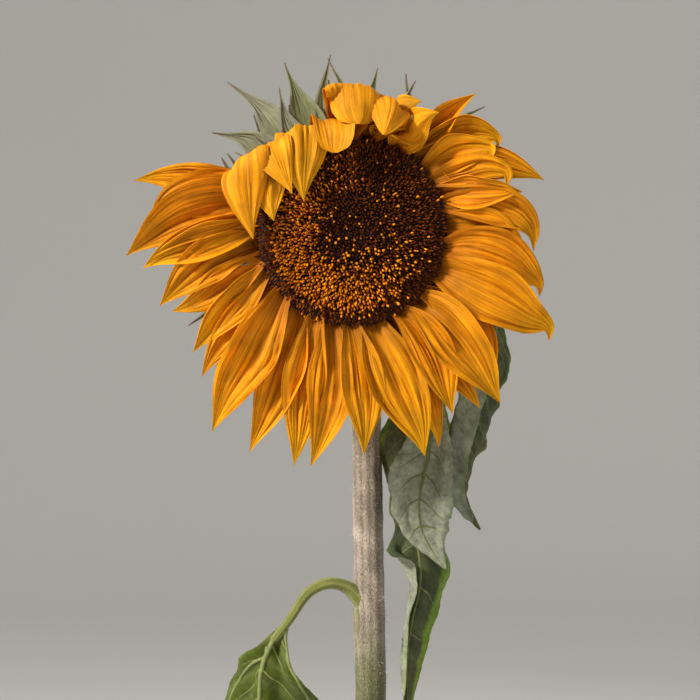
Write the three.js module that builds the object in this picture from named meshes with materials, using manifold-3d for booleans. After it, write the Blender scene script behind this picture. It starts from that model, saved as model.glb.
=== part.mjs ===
// Sunflower plant: one upright stem, a nodding flower head and wilted hanging leaves.
//
// Millimetres, +Z up. The origin is the middle of the flat cut under the stem, at ground
// level. The flower faces -Y, and +X is on the right of someone who looks at the flower.
// Places on the flower head are polar: a clock angle in degrees, counted anticlockwise
// from +X as that person sees it, a reach from the head's axis, and a distance fore,
// towards that person, from the rim of the disc.

import * as THREE from 'three';
import { mergeVertices } from 'three/addons/utils/BufferGeometryUtils.js';
import Module from 'manifold-3d';

const wasm = await Module();
wasm.setup();

// ---------------------------------------------------------------- driving dimensions

const HEAD_HEIGHT = 1150; // middle of the disc above the ground
const HEAD_ASIDE = -13.5; // middle of the disc from the foot of the stem, along X
const HEAD_FORWARD = 95; // middle of the disc in front of the foot of the stem
const HEAD_NOD = 5; // degrees that the flower looks below the horizon

const DISC_RADIUS = 73;
const DISC_DOME = 16; // height of the florets in the disc's middle over its rim
const DISC_DIMPLE = 4; // hollow in the very middle
const DISC_DIMPLE_RADIUS = 16;
const DISC_DEPTH = 7.7;

const DISC_STATIONS = [1, 0.95, 0.8, 0.55, 0.28, 0]; // shares of the radius, rim to middle

const RECEPTACLE_FRONT = -8;
const RECEPTACLE_BACK = -42;
const RECEPTACLE_RIM = 72;
const RECEPTACLE_NECK = 18;
const RECEPTACLE_FLANK = [[26, -38], [46, -30], [62, -20]]; // reach and fore, neck to rim
const RECEPTACLE_SHOULDER = -12; // where the flank meets the rim

const STEM_TOP_RADIUS = 11.3;
const STEM_FOOT_RADIUS = 15;
const FLARE = 7; // how far the root flare adds to the foot's radius
const FLARE_HEIGHT = 22;
const STEM_TOP = new THREE.Vector3(-3, 0, 1085);
const STEM_BOW = new THREE.Vector3(3, 5, 640); // the stem's furthest bow to the back
const STEM_STRAIGHT = 60; // the stem rises straight up to here
const STEM_LEVELS = [0, 8, 20, 45, 100, 260, 450, 640, 820, 970, STEM_TOP.z];
const STEM_SIDES = 12;
const BUTTRESSES = 5;
const BUTTRESS_DEPTH = 0.25; // as a share of the flare

const NECK_RISE = 46; // how far the neck keeps the stem's direction
const NECK_RUN = 34; // how far it keeps the head's axis
const NECK_DRIFT = -1; // how far it leans along X on the rise
const NECK_STEPS = 7;

const TURNED_SEGMENTS = 24;
const GAP = 0.6; // between neighbours that touch
const FACET_TOLERANCE = 0.2; // how far a face may move to save triangles

const ARC_STEP = 12; // degrees from one facet of a curved foot to the next
const RAY_THICKNESS = 2;
const RAY_STATIONS = 6;
const RAY_FULLNESS = 0.61; // the widest half as a share of the width in the table
const RAY_WAIST = 0.65; // how much narrower the root is
const RAY_FOLD = 14; // degrees that each half is folded up
const RAY_LAYERS = { count: 3, first: -4, spacing: 4 }; // fore of the roots, front to back
const RAY_ROOT_REACH = DISC_RADIUS + 1;
const RAY_FOOT = { inner: 73.4, outer: 77.5, back: -13, front: -2 };

const BRACT_THICKNESS = 2.4;
const BRACT_STATIONS = 4;
const BRACT_FOLD = 12; // degrees
const BRACT_BEND = 0.62; // how far along its reach a bract bends
const BRACT_ROOT_REACH = 64;
const BRACT_ROOT_FORE = -19;
const BRACT_FOOT = { inner: 60, outer: 70, back: -24, front: -17 };
const BRACT_SPRAYS = 8;
const BRACT_SPACING = 14; // degrees

const LEAF_THICKNESS = 3;
const LEAF_STATIONS = 7;
const LEAF_COLUMNS = 3;
const PETIOLE_STEPS = 6;
const PETIOLE_SIDES = 6;
const FOOT_MARGIN = 4; // degrees that a spray's foot goes past its outer florets

// Ray florets, in the sprays that share a node. Each row is one ray: the clock of its
// root, then turn, reach and fore of its shoulder, halfway along, then turn, reach and
// fore of its tip, then its width. Turn is counted from the root's clock.
const RAY_SPRAYS = [
  [
    [350, 2, 110, 8, -9, 149, 2, 30],
    [4, -4, 105, 2, -14, 134, -4, 28],
  ],
  [
    [17, -8, 116, 6, -23, 137, 2, 26],
    [25, -8, 103, 10, -12, 130, 10, 22],
    [28, -2, 116, -8, -13, 150, -14, 24],
  ],
  [
    [32, -5, 103, 8, -16, 119, 8, 20],
    [40, -4, 104, 6, -13, 116, 10, 24],
    [45, -4, 108, -6, -15, 126, -8, 30],
  ],
  [
    [55, -5, 104, -8, -7, 138, -4, 26],
    [62, -3, 86, 16, -8, 105, 34, 26],
    [70, 0, 94, 4, -8, 109, 12, 28],
  ],
  [
    [92, -4, 109, 12, -17, 76, 32, 42],
    [104, -5, 78, 16, -7, 58, 24, 26],
  ],
  [
    [122, -6, 85, 16, 25, 42, 24, 34],
    [134, -1, 88, 18, 13, 52, 28, 26],
  ],
  [
    [146, 2, 73, 14, 26, 59, 22, 22],
    [151, 6, 95, 18, 36, 72, 26, 32],
  ],
  [
    [156, 6, 124, -10, 11, 169, -14, 24],
    [159, 9, 124, 0, 21, 152, -2, 34],
    [165, 7, 118, 6, 21, 170, 0, 36],
  ],
  [
    [171, 9, 117, 10, 18, 156, 6, 12],
    [175, 9, 114, 6, 15, 159, 2, 26],
    [186, 6, 115, 3, 15, 155, -2, 30],
  ],
  [
    [196, 7, 114, 0, 8, 149, -4, 24],
    [203, 10, 116, 3, 14, 150, -2, 24],
    [210, 9, 116, 1, 14, 158, -4, 22],
  ],
  [
    [221, 9, 121, 8, 14, 184, 2, 34],
    [235, 9, 129, 3, 10, 184, -2, 30],
  ],
  [
    [247, 6, 128, 6, 9, 182, 2, 28],
    [256, 6, 124, 8, 4, 180, 4, 30],
  ],
  [
    [269, 5, 119, 10, 4, 168, 6, 28],
    [282, 5, 121, 12, 6, 177, 8, 36],
    [290, 5, 131, 0, 2, 177, -6, 24],
  ],
  [
    [300, 4, 107, 14, -1, 156, 8, 28],
    [308, -2, 130, 2, -2, 165, -4, 22],
    [312, 3, 110, 15, -1, 170, 8, 36],
  ],
  [
    [320, 1, 119, -4, -7, 158, -10, 26],
    [336, 0, 114, 12, -5, 169, 4, 38],
  ],
];

// Bracts that stand clear of the rays: clock and reach of the tip, fore of the tip, width.
const FREE_BRACTS = [
  [43, 138, -24, 20],
  [66, 123, -22, 20],
  [73, 127, -18, 20],
  [81, 129, -24, 22],
  [98, 134, -22, 24],
  [112, 140, -24, 26],
  [118, 122, -16, 24],
  [129, 150, -24, 30],
  [145, 134, -22, 24],
  [208, 144, -22, 22],
];
const HIDDEN_BRACT = { reach: 124, fore: -26, width: 24 };

// Leaves that hang beside the stem and below the head. The petiole runs from the stem
// through its points to the base of the blade, and the blade's midrib runs on from there.
// Facing is the direction that the blade's left-to-right line starts in, twist how far
// that line turns along the blade, and folds how far each half is folded up, in degrees.
const HEAD_LEAVES = [
  {
    from: 1042,
    petiole: [[24, -8, 1056], [42, -14, 1054], [52, -16, 1034]],
    midrib: [[42, -18, 985], [36, -22, 935], [41, -20, 880], [32, -17, 829], [31, -14, 762]],
    width: 84,
    facing: 0,
    twist: 15,
    folds: [46, 54],
    radius: 4.6,
  },
  {
    from: 1066,
    petiole: [[32, 16, 1094], [66, 22, 1110], [96, 18, 1102], [104, 12, 1086]],
    midrib: [[100, 8, 1052], [91, 4, 1022], [79, 0, 980], [75, -3, 945], [90, -2, 916]],
    width: 64,
    facing: 10,
    twist: -15,
    folds: [42, 46],
    radius: 4.2,
  },
  {
    from: 852,
    petiole: [[-17, -3, 870], [-32, -8, 874], [-48, -11, 867], [-64, -16, 845], [-76, -20, 830]],
    midrib: [[-84, -24, 812], [-87, -25, 780], [-86, -24, 735], [-80, -18, 652]],
    width: 118,
    facing: -6,
    twist: 12,
    folds: [44, 36],
    radius: 4.8,
  },
];

// Lower leaves, spaced up the stem and turned by the golden angle from one to the next.
const LOWER_LEAVES = {
  count: 7,
  lowest: 258,
  highest: 700,
  firstAzimuth: 250,
  turn: 137.5,
  petiole: [120, 96], // length of the lowest and of the highest
  blade: [205, 190],
  width: [150, 132],
  folds: [40, 50],
  radius: 5,
};

// ---------------------------------------------------------------- frames and helpers

const radians = THREE.MathUtils.degToRad;
const mix = THREE.MathUtils.lerp;
const NOD = radians(HEAD_NOD);
const HEAD = new THREE.Vector3(HEAD_ASIDE, -HEAD_FORWARD, HEAD_HEIGHT);
const RIGHT = new THREE.Vector3(1, 0, 0);
const FORE = new THREE.Vector3(0, -Math.cos(NOD), -Math.sin(NOD));
const UPWARD = new THREE.Vector3().crossVectors(FORE, RIGHT);

function headPoint(clock, reach, fore) {
  const angle = radians(clock);
  return HEAD.clone()
    .addScaledVector(RIGHT, reach * Math.cos(angle))
    .addScaledVector(UPWARD, reach * Math.sin(angle))
    .addScaledVector(FORE, fore);
}

function toSolid(positions, faces) {
  const mesh = new wasm.Mesh({
    numProp: 3,
    vertProperties: new Float32Array(positions),
    triVerts: new Uint32Array(faces),
  });
  return new wasm.Manifold(mesh);
}

// Six times the volume inside the faces, below zero where they point inwards.
function signedVolume(positions, faces) {
  const corner = (index) => new THREE.Vector3().fromArray(positions, 3 * index);
  let volume = 0;
  for (let i = 0; i < faces.length; i += 3) {
    const [a, b, c] = [corner(faces[i]), corner(faces[i + 1]), corner(faces[i + 2])];
    volume += a.dot(b.cross(c));
  }
  return volume;
}

// A closed solid through rings of points. Each ring goes out along one side and comes
// back along the other, so the end caps are strips between the two sides.
function loft(rings) {
  const size = rings[0].length;
  const positions = rings.flat().flatMap((point) => point.toArray());
  const faces = [];
  const quad = (a, b, c, d) => faces.push(a, b, c, a, c, d);
  for (let i = 0; i + 1 < rings.length; i += 1) {
    for (let j = 0; j < size; j += 1) {
      const k = (j + 1) % size;
      quad(i * size + j, i * size + k, (i + 1) * size + k, (i + 1) * size + j);
    }
  }
  const last = (rings.length - 1) * size;
  for (let j = 0; j < size / 2 - 1; j += 1) {
    const [a, b, c, d] = [j, j + 1, size - 2 - j, size - 1 - j];
    quad(d, c, b, a);
    quad(last + b, last + c, last + d, last + a);
  }
  if (signedVolume(positions, faces) < 0) faces.reverse();
  return toSolid(positions, faces);
}

// Points along a curve, each with its tangent, a side direction that turns as little as
// it can, and the normal of the two.
function stationsAlong(curve, count, firstSide) {
  const stations = [];
  let side = firstSide.clone();
  for (let i = 0; i < count; i += 1) {
    const t = i / (count - 1);
    const tangent = curve.getTangent(t);
    side = side.clone().addScaledVector(tangent, -side.dot(tangent)).normalize();
    const normal = new THREE.Vector3().crossVectors(side, tangent);
    stations.push({ t, middle: curve.getPoint(t), tangent, side, normal });
  }
  return stations;
}

// A thin blade along a curve, folded at its midrib and sharp at its margins. Columns is
// how many lines of points run along each face between the margins.
function blade(curve, count, columns, firstSide, shape, grow) {
  const rings = stationsAlong(curve, count, firstSide).map((station) => {
    const { t, tangent } = station;
    const { half, folds, twist, thickness } = shape(t);
    const side = station.side.clone().applyAxisAngle(tangent, radians(twist));
    const normal = station.normal.clone().applyAxisAngle(tangent, radians(twist));
    const upper = [];
    const lower = [];
    for (let j = 0; j < columns + 2; j += 1) {
      const place = (2 * j) / (columns + 1) - 1;
      const fold = radians(place < 0 ? folds[0] : folds[1]);
      const out = (half + grow) * place;
      const point = station.middle.clone()
        .addScaledVector(side, out * Math.cos(fold))
        .addScaledVector(normal, Math.abs(out) * Math.sin(fold))
        .addScaledVector(tangent, grow * (2 * t - 1));
      const isMargin = Math.abs(place) === 1;
      if (isMargin && grow === 0) {
        upper.push(point);
      } else {
        upper.push(point.clone().addScaledVector(normal, thickness / 2 + grow));
        lower.unshift(point.addScaledVector(normal, -thickness / 2 - grow));
      }
    }
    return [...upper, ...lower];
  });
  return loft(rings);
}

// A round tube along a curve, with a radius that changes on the way.
function tube(curve, steps, sides, radiusAt, grow) {
  const firstSide = Math.abs(curve.getTangent(0).x) > 0.9 ? UPWARD : RIGHT;
  const rings = stationsAlong(curve, steps + 1, firstSide).map((station) => {
    const ring = [];
    for (let j = 0; j < sides; j += 1) {
      const angle = (2 * Math.PI * j) / sides;
      const radius = radiusAt(station.t, angle) + grow;
      ring.push(station.middle.clone()
        .addScaledVector(station.side, radius * Math.cos(angle))
        .addScaledVector(station.normal, radius * Math.sin(angle)));
    }
    return ring;
  });
  return loft(rings);
}

// A block bent round the head's axis between two clocks.
function arcBlock({ inner, outer, back, front }, fromClock, toClock, grow) {
  const steps = Math.max(2, Math.round((toClock - fromClock) / ARC_STEP));
  const rings = [];
  for (let i = 0; i <= steps; i += 1) {
    const clock = mix(fromClock, toClock, i / steps);
    rings.push([
      headPoint(clock, inner - grow, back - grow),
      headPoint(clock, inner - grow, front + grow),
      headPoint(clock, outer + grow, front + grow),
      headPoint(clock, outer + grow, back - grow),
    ]);
  }
  return loft(rings);
}

// The foot that joins the florets or bracts of one spray.
function arcFoot(section, clocks, grow) {
  const from = Math.min(...clocks) - FOOT_MARGIN;
  return arcBlock(section, from, Math.max(...clocks) + FOOT_MARGIN, grow);
}

// A solid turned about the head's axis from a profile of reach and fore.
function turned(profile, segments) {
  const points = profile.map(([reach, fore]) => new THREE.Vector2(reach, fore));
  const geometry = new THREE.LatheGeometry(points, segments);
  const toHead = new THREE.Matrix4().makeBasis(RIGHT, FORE, UPWARD.clone().negate());
  geometry.applyMatrix4(toHead.setPosition(HEAD));
  geometry.deleteAttribute('normal');
  geometry.deleteAttribute('uv');
  const merged = mergeVertices(geometry, 1e-4);
  const positions = Array.from(merged.attributes.position.array);
  const faces = [];
  for (let i = 0; i < merged.index.count; i += 3) {
    const triangle = [0, 1, 2].map((k) => merged.index.getX(i + k));
    if (new Set(triangle).size === 3) faces.push(...triangle);
  }
  if (signedVolume(positions, faces) < 0) faces.reverse();
  return toSolid(positions, faces);
}

// ---------------------------------------------------------------- assembly

const plant = new THREE.Group();
const placed = []; // every solid so far, a gap larger all round

function largestBody(solid) {
  const bodies = solid.decompose();
  return bodies.reduce((best, body) => (body.volume() > best.volume() ? body : best));
}

function boxesMeet(a, b) {
  return [0, 1, 2].every((k) => a.min[k] <= b.max[k] && b.min[k] <= a.max[k]);
}

// Adds one node. build(grow) makes its solid, larger by grow all round, and what is
// already placed is cut away from it.
function place(name, finish, build) {
  let solid = build(0);
  for (const other of placed) {
    if (boxesMeet(solid.boundingBox(), other.boundingBox())) solid = solid.subtract(other);
  }
  solid = largestBody(solid.simplify(FACET_TOLERANCE));
  const { vertProperties, triVerts } = solid.getMesh();
  const geometry = new THREE.BufferGeometry();
  geometry.setAttribute('position', new THREE.Float32BufferAttribute(vertProperties, 3));
  geometry.setIndex(Array.from(triVerts));
  const mesh = new THREE.Mesh(geometry, new THREE.MeshStandardMaterial(finish));
  mesh.name = name;
  plant.add(mesh);
  placed.push(build(GAP));
}

const numbered = (word, index) => `${word}_${String(index + 1).padStart(2, '0')}`;

const FINISHES = {
  stem: { color: 0x77745a, roughness: 0.8, metalness: 0 },
  receptacle: { color: 0x5d6b3c, roughness: 0.8, metalness: 0 },
  disc: { color: 0x4a230e, roughness: 0.9, metalness: 0 },
  rays: { color: 0xeaa21b, roughness: 0.6, metalness: 0 },
  bracts: { color: 0x7d8a63, roughness: 0.75, metalness: 0 },
  leaf: { color: 0x56613f, roughness: 0.75, metalness: 0 },
  petiole: { color: 0x7c8048, roughness: 0.75, metalness: 0 },
};

// ---------------------------------------------------------------- stem and neck

const stemCurve = new THREE.CatmullRomCurve3([
  new THREE.Vector3(0, 0, 0),
  new THREE.Vector3(0, 0, STEM_STRAIGHT),
  STEM_BOW,
  STEM_TOP,
]);

function stemRadius(t, angle) {
  const height = t * STEM_TOP.z;
  const flare = FLARE * Math.exp(-height / FLARE_HEIGHT);
  const buttress = 1 + BUTTRESS_DEPTH * Math.cos(BUTTRESSES * angle);
  return mix(STEM_FOOT_RADIUS, STEM_TOP_RADIUS, t) + flare * buttress;
}

function stemSolid(grow) {
  const rings = STEM_LEVELS.map((height) => {
    const t = height / STEM_TOP.z;
    const middle = stemCurve.getPoint(stemShare(height));
    return Array.from({ length: STEM_SIDES }, (_, j) => {
      const angle = (2 * Math.PI * j) / STEM_SIDES;
      const radius = stemRadius(t, angle) + grow;
      const lift = height === 0 ? -grow : 0;
      return new THREE.Vector3(
        middle.x + radius * Math.cos(angle),
        middle.y + radius * Math.sin(angle),
        height + lift,
      );
    });
  });
  return loft(rings);
}

// Where on the stem's curve a height is reached.
function stemShare(height) {
  let low = 0;
  let high = 1;
  for (let i = 0; i < 40; i += 1) {
    const middle = (low + high) / 2;
    if (stemCurve.getPoint(middle).z < height) low = middle;
    else high = middle;
  }
  return (low + high) / 2;
}

function neckSolid(grow) {
  const start = STEM_TOP.clone().add(new THREE.Vector3(0, 0, GAP));
  const end = headPoint(0, 0, RECEPTACLE_BACK - GAP);
  const curve = new THREE.CubicBezierCurve3(
    start,
    start.clone().add(new THREE.Vector3(NECK_DRIFT, 0, NECK_RISE)),
    end.clone().addScaledVector(FORE, -NECK_RUN),
    end,
  );
  const radiusAt = (t) => mix(STEM_TOP_RADIUS, RECEPTACLE_NECK - 1, t ** 3);
  return tube(curve, NECK_STEPS, STEM_SIDES, radiusAt, grow);
}

// ---------------------------------------------------------------- flower head

function receptacleSolid(grow) {
  return turned([
    [0, RECEPTACLE_BACK - grow],
    [RECEPTACLE_NECK + grow, RECEPTACLE_BACK - grow],
    ...RECEPTACLE_FLANK.map(([reach, fore]) => [reach + grow, fore - grow]),
    [RECEPTACLE_RIM + grow, RECEPTACLE_SHOULDER - grow],
    [RECEPTACLE_RIM + grow, RECEPTACLE_FRONT + grow],
    [0, RECEPTACLE_FRONT + grow],
  ], TURNED_SEGMENTS);
}

function discHeight(reach) {
  const dome = DISC_DOME * (1 - (reach / DISC_RADIUS) ** 2) ** 0.6;
  return dome - DISC_DIMPLE * Math.exp(-((reach / DISC_DIMPLE_RADIUS) ** 2));
}

function discSolid(grow) {
  const profile = [[0, -DISC_DEPTH - grow], [DISC_RADIUS + grow, -DISC_DEPTH - grow]];
  for (const share of DISC_STATIONS) {
    const reach = share * DISC_RADIUS;
    profile.push([share === 0 ? 0 : reach + grow, discHeight(reach) + grow]);
  }
  return turned(profile, TURNED_SEGMENTS);
}

// A quadratic curve that is at shoulder halfway along.
function bow(root, shoulder, tip) {
  const control = shoulder.clone().multiplyScalar(2);
  control.addScaledVector(root, -0.5).addScaledVector(tip, -0.5);
  return new THREE.QuadraticBezierCurve3(root, control, tip);
}

function raySolid(row, layer, grow) {
  const [clock, turn, reach, fore, tipTurn, tipReach, tipFore, width] = row;
  const curve = bow(
    headPoint(clock, RAY_ROOT_REACH, RAY_LAYERS.first - RAY_LAYERS.spacing * layer),
    headPoint(clock + turn, reach, fore),
    headPoint(clock + tipTurn, tipReach, tipFore),
  );
  const shape = (t) => {
    const outline = (1 - RAY_WAIST * (1 - t) ** 3) * (1 - t ** 2.6) ** 0.75;
    return {
      half: Math.max(0.9, RAY_FULLNESS * width * outline),
      folds: [RAY_FOLD, RAY_FOLD],
      twist: 0,
      thickness: RAY_THICKNESS,
    };
  };
  const aside = headPoint(clock + 90, 1, 0).sub(HEAD).negate();
  return blade(curve, RAY_STATIONS, 1, aside, shape, grow);
}

function raySpray(rows, grow) {
  const first = rows[0][0];
  const clocks = rows.map(([clock]) => (clock < first - 180 ? clock + 360 : clock));
  const foot = arcFoot(RAY_FOOT, clocks, grow);
  const layer = (index) => index % RAY_LAYERS.count;
  return rows.reduce((spray, row, index) => spray.add(raySolid(row, layer(index), grow)), foot);
}

function bractSolid([clock, reach, fore, width], grow) {
  const middleReach = mix(BRACT_ROOT_REACH, reach, BRACT_BEND);
  const curve = bow(
    headPoint(clock, BRACT_ROOT_REACH, BRACT_ROOT_FORE),
    headPoint(clock, middleReach, mix(BRACT_ROOT_FORE, fore, 0.5) - 1),
    headPoint(clock, reach, fore),
  );
  const shape = (t) => ({
    half: Math.max(0.8, 0.5 * width * (1 - t ** 1.7) * (0.75 + 0.5 * t)),
    folds: [BRACT_FOLD, BRACT_FOLD],
    twist: 0,
    thickness: BRACT_THICKNESS,
  });
  const aside = headPoint(clock + 90, 1, 0).sub(HEAD).negate();
  return blade(curve, BRACT_STATIONS, 1, aside, shape, grow);
}

// All bracts in order of clock: the free ones, with hidden ones wherever there is room.
function allBracts() {
  const bracts = [...FREE_BRACTS];
  for (let clock = 0; clock < 360; clock += BRACT_SPACING) {
    const crowded = FREE_BRACTS.some(([other]) => Math.abs(other - clock) < 0.7 * BRACT_SPACING);
    if (!crowded) bracts.push([clock, HIDDEN_BRACT.reach, HIDDEN_BRACT.fore, HIDDEN_BRACT.width]);
  }
  return bracts.sort((a, b) => a[0] - b[0]);
}

function bractSpray(bracts, grow) {
  const clocks = bracts.map(([clock]) => clock);
  const foot = arcFoot(BRACT_FOOT, clocks, grow);
  return bracts.reduce((spray, bract) => spray.add(bractSolid(bract, grow)), foot);
}

// ---------------------------------------------------------------- leaves

const vector = ([x, y, z]) => new THREE.Vector3(x, y, z);

function stemPoint(height) {
  return stemCurve.getPoint(stemShare(height));
}

function petioleSolid(leaf, grow) {
  const points = [stemPoint(leaf.from), ...leaf.petiole.map(vector)];
  const curve = new THREE.CatmullRomCurve3(points);
  const radiusAt = (t) => leaf.radius * (1.25 - 0.4 * t);
  return tube(curve, PETIOLE_STEPS, PETIOLE_SIDES, radiusAt, grow);
}

function leafSolid(leaf, grow) {
  const base = vector(leaf.petiole.at(-1));
  const before = vector(leaf.petiole.at(-2));
  const start = base.clone().add(base.clone().sub(before).setLength(2 * GAP));
  const curve = new THREE.CatmullRomCurve3([start, ...leaf.midrib.map(vector)]);
  const shape = (t) => {
    const heart = Math.sin(Math.PI * t ** 0.55) ** 1.15;
    const shoulder = THREE.MathUtils.smoothstep(t, -0.05, 0.3);
    return {
      half: Math.max(1.2, 0.5 * leaf.width * heart * shoulder),
      folds: leaf.folds,
      twist: leaf.twist * t,
      thickness: LEAF_THICKNESS,
    };
  };
  const angle = radians(leaf.facing);
  const across = new THREE.Vector3(Math.cos(angle), Math.sin(angle), 0);
  return blade(curve, LEAF_STATIONS, LEAF_COLUMNS, across, shape, grow);
}

// A leaf lower on the stem: its petiole rises, arches over and lets the blade hang.
function lowerLeaf(index) {
  const { count, lowest, highest, firstAzimuth, turn, petiole, width } = LOWER_LEAVES;
  const share = index / (count - 1);
  const azimuth = radians(firstAzimuth + index * turn);
  const height = mix(highest, lowest, share);
  const foot = stemPoint(height);
  const reach = mix(petiole[1], petiole[0], share);
  const drop = mix(LOWER_LEAVES.blade[1], LOWER_LEAVES.blade[0], share);
  const at = (out, up, aside = 0) => [
    foot.x + out * Math.cos(azimuth) - aside * Math.sin(azimuth),
    foot.y + out * Math.sin(azimuth) + aside * Math.cos(azimuth),
    height + up,
  ];
  return {
    from: height,
    petiole: [
      at(0.32 * reach, 0.24 * reach),
      at(0.62 * reach, 0.34 * reach),
      at(0.88 * reach, 0.24 * reach),
      at(reach, 0.02 * reach),
    ],
    midrib: [
      at(reach + 0.08 * drop, -0.2 * drop, 4),
      at(reach + 0.1 * drop, -0.5 * drop, -3),
      at(reach + 0.04 * drop, -0.8 * drop, 2),
      at(reach - 0.04 * drop, -drop, 8),
    ],
    width: mix(width[1], width[0], share),
    facing: firstAzimuth + index * turn + 90,
    twist: 30 - 20 * (index % 3),
    folds: LOWER_LEAVES.folds,
    radius: LOWER_LEAVES.radius,
  };
}

// ---------------------------------------------------------------- the plant

place('stem', FINISHES.stem, stemSolid);
place('neck', FINISHES.stem, neckSolid);
place('disc', FINISHES.disc, discSolid);
place('receptacle', FINISHES.receptacle, receptacleSolid);

RAY_SPRAYS.forEach((rows, index) => {
  place(numbered('rays', index), FINISHES.rays, (grow) => raySpray(rows, grow));
});

const bracts = allBracts();
const perSpray = bracts.length / BRACT_SPRAYS;
for (let index = 0; index < BRACT_SPRAYS; index += 1) {
  const share = bracts.slice(Math.round(index * perSpray), Math.round((index + 1) * perSpray));
  place(numbered('bracts', index), FINISHES.bracts, (grow) => bractSpray(share, grow));
}

const lowerLeaves = Array.from({ length: LOWER_LEAVES.count }, (_, index) => lowerLeaf(index));
[...HEAD_LEAVES, ...lowerLeaves].forEach((leaf, index) => {
  place(numbered('petiole', index), FINISHES.petiole, (grow) => petioleSolid(leaf, grow));
  place(numbered('leaf', index), FINISHES.leaf, (grow) => leafSolid(leaf, grow));
});

export default plant;
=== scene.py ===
"""Looks of the sunflower plant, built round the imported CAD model.

Lengths are in millimetres in this script, in the frame of the CAD part, and become metres
when a mesh is made. Places on the flower head are polar, as in the part: a clock angle in
degrees, a reach from the head's axis, and a distance fore of the disc's rim.
"""

import math

import bpy
import numpy as np
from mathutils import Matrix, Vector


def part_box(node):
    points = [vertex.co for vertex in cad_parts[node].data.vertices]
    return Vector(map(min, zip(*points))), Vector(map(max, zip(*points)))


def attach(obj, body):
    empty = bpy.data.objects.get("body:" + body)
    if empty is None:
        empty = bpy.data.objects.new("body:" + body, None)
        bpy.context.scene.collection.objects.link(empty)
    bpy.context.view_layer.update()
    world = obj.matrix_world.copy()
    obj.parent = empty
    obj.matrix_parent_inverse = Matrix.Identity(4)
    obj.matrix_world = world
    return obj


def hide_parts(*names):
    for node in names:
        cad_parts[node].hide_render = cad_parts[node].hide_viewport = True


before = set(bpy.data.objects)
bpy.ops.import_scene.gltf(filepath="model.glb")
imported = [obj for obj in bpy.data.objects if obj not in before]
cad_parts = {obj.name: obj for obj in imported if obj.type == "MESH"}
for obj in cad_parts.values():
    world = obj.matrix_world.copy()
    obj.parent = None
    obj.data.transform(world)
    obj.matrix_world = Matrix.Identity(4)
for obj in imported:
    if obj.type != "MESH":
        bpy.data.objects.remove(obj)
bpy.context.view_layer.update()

MM = 0.001
TAU = 2 * math.pi
CURVE_STEPS = 60  # samples of a curve between two of its points
SEED = 20
SHARP_ANGLE = math.radians(50)

# ---------------- the part's own dimensions

HEAD_NOD = math.radians(5)
DISC_RADIUS = 73.0
DISC_DOME = 16.0
DISC_DIMPLE = 4.0
DISC_DIMPLE_RADIUS = 16.0
DISC_DEPTH = 7.7
RAY_ROOT_REACH = 70.0
BRACT_ROWS_AT = [(45, -31), (55, -26), (64, -19)]  # reach and fore of the roots

# Clock of the root, then turn, reach and fore of the shoulder, halfway along, then turn,
# reach and fore of the tip, then the width. One list for each rays node.
RAY_SPRAYS = [
    [[350, 2, 110, 8, -9, 149, 2, 30], [4, -4, 105, 2, -14, 134, -4, 28]],
    [[17, -8, 116, 6, -23, 137, 2, 26], [25, -8, 103, 10, -12, 130, 10, 22],
     [28, -2, 116, -8, -13, 150, -14, 24]],
    [[32, -5, 103, 8, -16, 119, 8, 20], [40, -4, 104, 6, -13, 116, 10, 24],
     [45, -4, 108, -6, -15, 126, -8, 30]],
    [[55, -5, 104, -8, -7, 138, -4, 26], [62, -3, 92, 16, -8, 108, 26, 25],
     [70, 0, 94, 4, -8, 109, 12, 28]],
    [[94, -5, 109, 13, -8, 79, 30, 40], [83, -8, 102, 14, -11, 74, 34, 40],
     [104, -4, 83, 16, -2, 59, 27, 26]],
    [[122, -6, 85, 16, 25, 42, 24, 34], [134, -1, 88, 18, 13, 52, 28, 26]],
    [[146, 2, 73, 14, 26, 59, 22, 22], [151, -5, 97, 18, 33, 72, 26, 33]],
    [[156, 6, 124, -10, 11, 169, -14, 24], [159, 9, 124, 0, 21, 152, -2, 34],
     [165, 7, 118, 6, 21, 170, 0, 36]],
    [[171, 9, 117, 10, 18, 156, 6, 12], [175, 9, 114, 6, 15, 159, 2, 26],
     [186, 6, 115, 3, 15, 155, -2, 30]],
    [[196, 7, 114, 0, 8, 149, -4, 24], [203, 10, 116, 3, 14, 150, -2, 24],
     [210, 9, 116, 1, 14, 158, -4, 22]],
    [[221, 9, 121, 8, 14, 184, 2, 34], [235, 9, 129, 3, 10, 184, -2, 30]],
    [[247, 6, 128, 6, 9, 182, 2, 28], [256, 6, 124, 8, 4, 180, 4, 30]],
    [[269, 5, 119, 10, 4, 168, 6, 28], [282, 5, 121, 12, 6, 177, 8, 36],
     [290, 5, 131, 0, 2, 177, -6, 24]],
    [[300, 4, 107, 14, -1, 156, 8, 28], [308, -2, 130, 2, -2, 165, -4, 22],
     [312, 3, 110, 15, -1, 170, 8, 36]],
    [[320, 1, 119, -4, -7, 158, -10, 26], [336, 0, 114, 12, -5, 169, 4, 38]],
]

# Rays that differ from the rest, by the clock of the root: degrees of extra cup, how blunt
# the end is (0 to 1), and how far in millimetres the tip hangs down below its kink.
RAY_HABITS = {
    94: {"cup": 14, "blunt": 0.9}, 83: {"cup": 8, "blunt": 0.2}, 104: {"cup": -34, "blunt": 1},
    55: {"cup": 34}, 45: {"hang": 6}, 40: {"hang": 9}, 32: {"hang": 10}, 17: {"hang": 13},
    350: {"hang": 9}, 336: {"hang": 10},
}

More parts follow.
